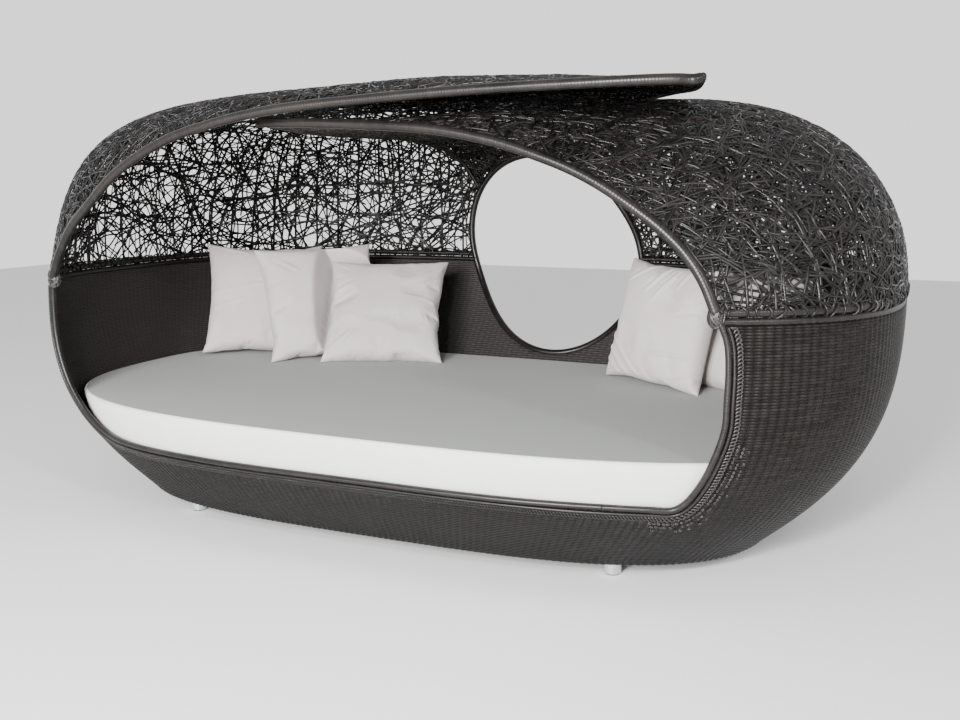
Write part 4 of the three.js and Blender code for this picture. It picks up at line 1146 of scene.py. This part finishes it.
def build_knots():
    """Balls of strand that bind a front rim to the belt: loops about one middle, turned at random."""
    rng = np.random.default_rng(8)
    for side, rim in (("left", left_front), ("right", right_front)):
        first = unit(rng.normal(size=(KNOT_LOOPS, 3)))
        second = unit(np.cross(first, rng.normal(size=(KNOT_LOOPS, 3))))
        swell = np.array([0.019, 0.016, 0.026]) * rng.uniform(0.86, 1.08, (KNOT_LOOPS, 1))
        middle = np.repeat(rim[:1] * [1, 1, 0] + [[0, 0.006, BELT + RAIL_PITCH / 2 + 0.002]], KNOT_LOOPS, 0)
        loop_pieces(f"rim_knot_{side}", BRAID, (middle, first * swell, second * swell, 0.0026, 22),
                    rng.random(KNOT_LOOPS))


# Mattress

def build_mattress():
    """Rings of the seat's outline stacked from the bottom edge to the middle of the top. The edges
    turn in quarter circles, the side bulges by a half wave, and the top rises towards the middle. The
    outline leaves 4 mm to the nest's wall at the bottom and 12 mm at the top."""
    turns = np.linspace(0, 2 * math.pi, MATTRESS_SIDES + 1)[:-1]
    low, high, r, edge = DECK + MATTRESS_LIFT, MATTRESS_TOP, MATTRESS_FOOT_EDGE, MATTRESS_EDGE
    quarter = np.linspace(0, math.pi / 2, 8)
    rings = [(low, 0.3), (low, 0.012)]
    rings += [(low + r - r * math.cos(q), r - r * math.sin(q)) for q in quarter]
    rings += [(z, -MATTRESS_SWELL * math.sin(math.pi * (z - low) / (high - low)))
              for z in np.linspace(low + 0.02, high - 0.02, 6)]
    rings += [(high - edge + edge * math.sin(q), edge - edge * math.cos(q)) for q in quarter]
    rings += [(high + MATTRESS_SWELL * min(d / 0.08, 1), d)
              for d in (0.022, 0.035, 0.06, 0.09, 0.14, 0.2, 0.28, 0.36, 0.44, 0.5)]
    grid = []
    for z, d in rings:
        up = (z - low) / (high - low)
        grid.append(on_nest(turns, np.full(len(turns), z), WALL + 0.004 + 0.008 * up + d, 3.15 - 0.2 * up))
    grid = np.stack(grid)
    # Painted shade: the top panel gets shade 1, so its cloth is darker than the sides, with a slightly
    # greener tint.
    painted_panel_shade = np.repeat([float(z >= high - 0.001) for z, _ in rings], len(turns))
    piece = make_piece("mattress_pad", grid.reshape(-1, 3), stacked(*grid.shape[:2]), MATTRESS_CLOTH,
                       ["mattress"], shade=painted_panel_shade, body="mattress")


# Cushions

# Middle's x and y, heading, lean, roll, and share of the cushions' size
CUSHIONS = {
    "cushion_left_end": (-1.0388, 0.335125, 0.6, 0.48, -0.04, 1.0),
    "cushion_left_middle": (-0.7574, 0.32725, 0.752, 0.49, 0.045, 1.0),
    "cushion_left_front": (-0.5054, 0.389375, 0.356, 0.686, 0.0, 1.0),
    "cushion_right_end": (0.8344, 0.398125, -0.56, 0.66, 0.0, 1.0),
    "cushion_right_front": (0.6384, 0.270375, -0.524, 0.28, -0.02, 0.905),
}
# Each fold's two ends in shares of the half size, height and width
FOLDS = {
    "cushion_left_end": [
        (0.9, 0.86, 0.2, 0.5, 0.007, 0.01), (0.95, 0.7, 0.45, 0.42, 0.006, 0.008),
        (0.6, 0.92, 0.3, 0.66, 0.005, 0.008), (-0.95, -0.02, 0.3, 0.2, 0.006, 0.009),
        (-0.9, -0.3, -0.3, -0.12, 0.004, 0.01), (-0.85, 0.9, -0.2, 0.7, 0.004, 0.009)],
    "cushion_left_middle": [
        (-0.9, 0.9, -0.35, 0.45, 0.004, 0.01), (0.3, 0.95, 0.25, 0.5, 0.004, 0.008),
        (0.92, 0.88, 0.45, 0.5, 0.006, 0.009), (0.9, -0.9, 0.4, -0.5, 0.006, 0.009),
        (0.6, -0.95, 0.3, -0.7, 0.004, 0.008), (-0.9, -0.9, -0.5, -0.45, 0.005, 0.01)],
    "cushion_left_front": [
        (-0.95, 0.2, -0.4, 0.45, 0.005, 0.008), (-0.95, 0.0, -0.5, 0.25, 0.005, 0.008),
        (-0.9, 0.88, -0.45, 0.6, 0.005, 0.009), (0.95, 0.8, 0.55, 0.5, 0.006, 0.008),
        (0.95, 0.6, 0.6, 0.36, 0.005, 0.008), (0.98, 0.0, 0.35, 0.14, 0.006, 0.008),
        (0.95, -0.2, 0.6, -0.1, 0.004, 0.008), (-0.9, -0.88, -0.5, -0.5, 0.005, 0.01),
        (0.0, -0.95, 0.03, -0.55, 0.004, 0.009)],
    "cushion_right_end": [
        (-0.9, 0.88, -0.4, 0.4, 0.005, 0.01), (0.9, -0.6, 0.3, -0.4, 0.005, 0.01),
        (0.9, 0.85, 0.4, 0.5, 0.005, 0.01), (-0.9, -0.85, -0.4, -0.5, 0.005, 0.01)],
    "cushion_right_front": [
        (-0.2, 0.95, -0.8, 0.6, 0.008, 0.008), (0.1, 0.95, -0.3, 0.45, 0.009, 0.008),
        (0.3, 0.92, -0.1, 0.3, 0.009, 0.008), (0.55, 0.92, 0.3, 0.55, 0.007, 0.008),
        (-0.97, -0.2, -0.1, -0.93, 0.009, 0.009), (-0.97, -0.42, -0.35, -0.94, 0.009, 0.008),
        (-0.97, -0.64, -0.55, -0.95, 0.007, 0.008), (0.95, -0.45, 0.1, -0.5, 0.007, 0.009),
        (0.9, -0.72, 0.5, -0.82, 0.006, 0.008), (0.9, 0.2, 0.45, 0.06, 0.005, 0.009)],
}
# The cushions that lean on each
LEANING = {
    "cushion_left_end": ("cushion_left_middle", "cushion_left_front"),
    "cushion_left_middle": ("cushion_left_front",),
    "cushion_right_end": ("cushion_right_front",),
}


def cushion_frame(place):
    """Middle, and the axes across, up the cushion, and out of its front: turned by its heading, leant
    back, rolled in its plane, and set so that its lowest corner is on the mattress."""
    x, y, heading, lean, roll, share = place
    along = np.array([math.cos(heading), math.sin(heading), 0])
    behind = np.array([-math.sin(heading), math.cos(heading), 0])
    upright = behind * math.sin(lean) + np.array([0, 0, math.cos(lean)])
    e1 = along * math.cos(roll) + upright * math.sin(roll)
    e2 = upright * math.cos(roll) - along * math.sin(roll)
    size = CUSHION_SIZE * share
    z = CUSHION_FLOOR - 0.004 + size / 2 * (abs(e1[2]) + abs(e2[2]))
    return np.array([x, y, z]), np.stack([e1, e2, np.cross(e1, e2)]), size


def half_thickness(u, v, thickness):
    """Half the cushion's thickness at shares u, v of its half size."""
    room = (1 - np.clip(u, -1, 1) ** 2) * (1 - np.clip(v, -1, 1) ** 2)
    return thickness / 2 * np.maximum(room, 0) ** PILLOW_POWER


def cushion_form(size, thickness, draw, seed):
    """Crowned square: x = size / 2 * u * (1 - draw (1 - v^2) u^2), y alike with the draw given for
    its top, z = +-half thickness, with low waves over it. Two sheets of a grid share the points of
    their border."""
    places = np.linspace(-1, 1, CUSHION_STEPS + 1)
    places = np.sign(places) * np.abs(places) ** 0.92
    u, v = np.meshgrid(places, places, indexing="ij")
    x = size / 2 * u * (1 - CUSHION_DRAW * (1 - v * v) * u * u)
    y = size / 2 * v * (1 - np.where(v < 0, 0.3 * CUSHION_DRAW, draw) * (1 - u * u) * v * v)
    z = half_thickness(u, v, thickness)
    count = CUSHION_STEPS + 1
    sheets = [np.stack([x, y, side * z], -1).reshape(-1, 3) for side in (1, -1)]
    i, j = np.meshgrid(np.arange(CUSHION_STEPS), np.arange(CUSHION_STEPS), indexing="ij")
    a = (i * count + j).ravel()
    face = np.stack([a, a + count, a + count + 1, a + 1], 1)
    index = np.arange(2 * count * count)
    border = np.zeros((count, count), bool)
    border[[0, -1]] = border[:, [0, -1]] = True
    index[count * count:][border.ravel()] = index[:count * count].reshape(count, count)[border]
    used, quads = np.unique(index[np.concatenate([face, face[:, ::-1] + count * count])], return_inverse=True)
    points = np.concatenate(sheets)[used]
    rng = np.random.default_rng(seed)
    wave = rng.normal(0, 28, (CUSHION_WAVES, 2))
    phase = rng.uniform(0, 2 * math.pi, CUSHION_WAVES)
    low = np.cos(points[:, :2] @ wave.T + phase).mean(1)
    points[:, 2] += WAVE_HEIGHT * low * np.sign(points[:, 2]) * (np.abs(points[:, 2]) > 1e-6)
    return points, quads.reshape(-1, 4)


def blown_up(pads):
    """Where the points of each pad, a list of points and quads, come to rest as closed cloth: 20
    frames under pressure 2 without gravity, the cloth 5 % larger than the pad, and no point more
    than SWELL from where it began."""
    scene = bpy.context.scene
    blown = []
    for points, quads in pads:
        mesh = bpy.data.meshes.new("cloth_trial")
        mesh.from_pydata(points, [], quads)
        pad = bpy.data.objects.new("cloth_trial", mesh)
        scene.collection.objects.link(pad)
        cloth = pad.modifiers.new("cloth", "CLOTH")
        for label, value in CLOTH.items():
            setattr(cloth.settings, label, value)
        cloth.settings.effector_weights.gravity = 0
        cloth.collision_settings.use_collision = False
        cloth.point_cache.frame_start = 1
        cloth.point_cache.frame_end = CLOTH_FRAMES
        blown.append(pad)
    for step in range(1, CLOTH_FRAMES + 1):
        scene.frame_set(step)
    graph = bpy.context.evaluated_depsgraph_get()
    ends = []
    for pad, (points, _) in zip(blown, pads):
        mesh = pad.evaluated_get(graph).to_mesh()
        end = np.zeros(len(mesh.vertices) * 3)
        mesh.vertices.foreach_get("co", end)
        move = end.reshape(-1, 3) - points
        far = np.linalg.norm(move, axis=1, keepdims=True)
        ends.append(points + move * np.minimum(1, SWELL / np.maximum(far, 1e-9)))
    for pad in blown:
        mesh = pad.data
        bpy.data.objects.remove(pad)
        bpy.data.meshes.remove(mesh)
    scene.frame_set(1)
    return ends


def creased(points, size, folds):
    """Front points lifted along each fold, from u, v to u, v in shares of the half size, by
    height * (1 - 1.6 s^2) e^(-s^2), with s the distance from the fold over its width, fading to the
    fold's ends as the square root of a half wave."""
    for u0, v0, u1, v1, height, width in folds:
        a = np.array([u0, v0]) * size / 2
        along = np.array([u1, v1]) * size / 2 - a
        offset = points[:, :2] - a
        t = np.clip(offset @ along / (along @ along), 0, 1)
        s = np.linalg.norm(offset - t[:, None] * along, axis=1) / width
        fade = np.sqrt(np.maximum(np.sin(math.pi * t), 0))
        points[:, 2] += (points[:, 2] > 1e-4) * fade * height * (1 - 1.6 * s * s) * np.exp(-s * s)
    return points


def build_cushions():
    """Each cushion is blown up as cloth from a pad two thirds as thick, creased, set in its place,
    and pressed by the ones that lean on it."""
    shapes = {}
    for seed, name in enumerate(CUSHIONS):
        size = cushion_frame(CUSHIONS[name])[2]
        start = CUSHION_THICKNESS * CUSHION_START
        shapes[name] = cushion_form(size * CUSHION_SHARE, start, TOP_DRAW.get(name, CUSHION_DRAW), seed + 3)
    ends = blown_up(list(shapes.values()))
    for name, local in zip(CUSHIONS, ends):
        middle, axes, size = cushion_frame(CUSHIONS[name])
        local = creased(local, size, FOLDS[name])
        u, v = local[:, 0] / (size / 2), local[:, 1] / (size / 2)
        limit = half_thickness(u, v, CUSHION_THICKNESS) + 0.004
        local[:, 2] = np.clip(local[:, 2], -limit, limit)
        points = settled(name, middle + local @ axes)
        piece = make_piece(name + "_pad", points, shapes[name][1], CUSHION_CLOTH, [name],
                           shade=np.zeros(len(points)), body=name)
        smooth = piece.modifiers.new("smooth", "SUBSURF")
        smooth.levels = smooth.render_levels = 1


def settled(name, points):
    """Cushion points pressed back by the cushions in front, and flat where they meet the mattress.
    A point that stands over the leaning cushion's back by h moves back along that cushion's axis by
    e * log(1 + exp(h / e)), a soft max(h, 0). Beside the cushion the limit falls away at a slope."""
    for other in LEANING.get(name, ()):
        middle, axes, size = cushion_frame(CUSHIONS[other])
        local = (points - middle) @ axes.T
        u, v = local[:, 0] / (size / 2), local[:, 1] / (size / 2)
        beyond = np.maximum(np.maximum(np.abs(u), np.abs(v)) - 1, 0) * size / 2
        over = local[:, 2] + half_thickness(u, v, CUSHION_THICKNESS) + 0.003 - PRESS_SLOPE * beyond
        local[:, 2] -= PRESS_EDGE * np.logaddexp(0, over / PRESS_EDGE)
        points = middle + local @ axes
    points[:, 2] = np.maximum(points[:, 2], CUSHION_FLOOR)
    return points


# Chassis and feet keep their CAD meshes

def dress_chassis():
    """Gives each kept CAD node the finish of the first name that it starts with."""
    finishes = {"deck_panel": BOARD, "foot_bolt": STEEL, "foot_plate": STEEL, "foot_beam": COATED,
                "foot_": BRUSHED, "glide": MOULDED, "base_ring": COATED, "deck_ring": COATED,
                "frame_post": COATED, "deck_beam": COATED}
    for name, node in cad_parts.items():
        match = next((finish for start, finish in finishes.items() if name.startswith(start)), None)
        if match:
            node.data.materials.clear()
            node.data.materials.append(match)


# Camera, floor and light

def build_studio():
    """Camera of the photo, pale floor, white surroundings that are dimmer overhead, and three area
    lights."""
    bpy.ops.object.camera_add(location=CAMERA_PLACE)
    camera = bpy.context.object
    level = math.cos(CAMERA_PITCH)
    view = Vector((-math.sin(CAMERA_YAW) * level, math.cos(CAMERA_YAW) * level, math.sin(CAMERA_PITCH)))
    camera.rotation_euler = view.to_track_quat("-Z", "Y").to_euler()
    camera.data.lens = CAMERA_LENS
    camera.data.sensor_width = SENSOR_WIDTH
    bpy.context.scene.camera = camera

    mesh = bpy.data.meshes.new("studio_floor")
    mesh.from_pydata([(-9, -9, 0), (9, -9, 0), (9, 9, 0), (-9, 9, 0)], [], [(0, 1, 2, 3)])
    floor = bpy.data.objects.new("studio_floor", mesh)
    bpy.context.scene.collection.objects.link(floor)
    pale = Finish("pale_floor", Roughness=0.9)
    mesh.materials.append(pale.give(Base_Color=tint(0.92, 0.92, 0.92)))

    world = bpy.context.scene.world or bpy.data.worlds.new("studio")
    bpy.context.scene.world = world
    world.use_nodes = True
    nodes, links = world.node_tree.nodes, world.node_tree.links
    height = nodes.new("ShaderNodeSeparateXYZ")
    links.new(nodes.new("ShaderNodeTexCoord").outputs["Generated"], height.inputs[0])
    dimming = nodes.new("ShaderNodeMapRange")
    for label, value in (("From Min", 0.2), ("From Max", 0.7), ("To Min", 1.5), ("To Max", 0.7)):
        dimming.inputs[label].default_value = value
    links.new(height.outputs["Z"], dimming.inputs["Value"])
    links.new(dimming.outputs["Result"], nodes["Background"].inputs["Strength"])
    nodes["Background"].inputs["Color"].default_value = (1, 1, 1, 1)

    for name, spot, aim, size, power in (
            ("key_light", (0.2, -5.4, 1.5), (0, 0, 0.5), 1.5, 560),
            ("glint_light", (1.0, -4.2, 2.0), (0.3, 0, 0.7), 0.3, 110),
            ("fill_light", (4.2, -3.4, 3.0), (0.6, 0, 0.8), 0.4, 90)):
        bpy.ops.object.light_add(type="AREA", location=spot)
        light = bpy.context.object
        light.name = name
        light.data.size = size
        light.data.energy = power
        light.rotation_euler = (Vector(aim) - Vector(spot)).to_track_quat("-Z", "Y").to_euler()


build_studio()
dress_chassis()
woven_nest()
build_canopy()
build_rims()
build_belt()
build_porthole()
build_mouth()
build_braid()
build_stitches()
build_lashings()
build_knots()
build_mattress()
build_cushions()
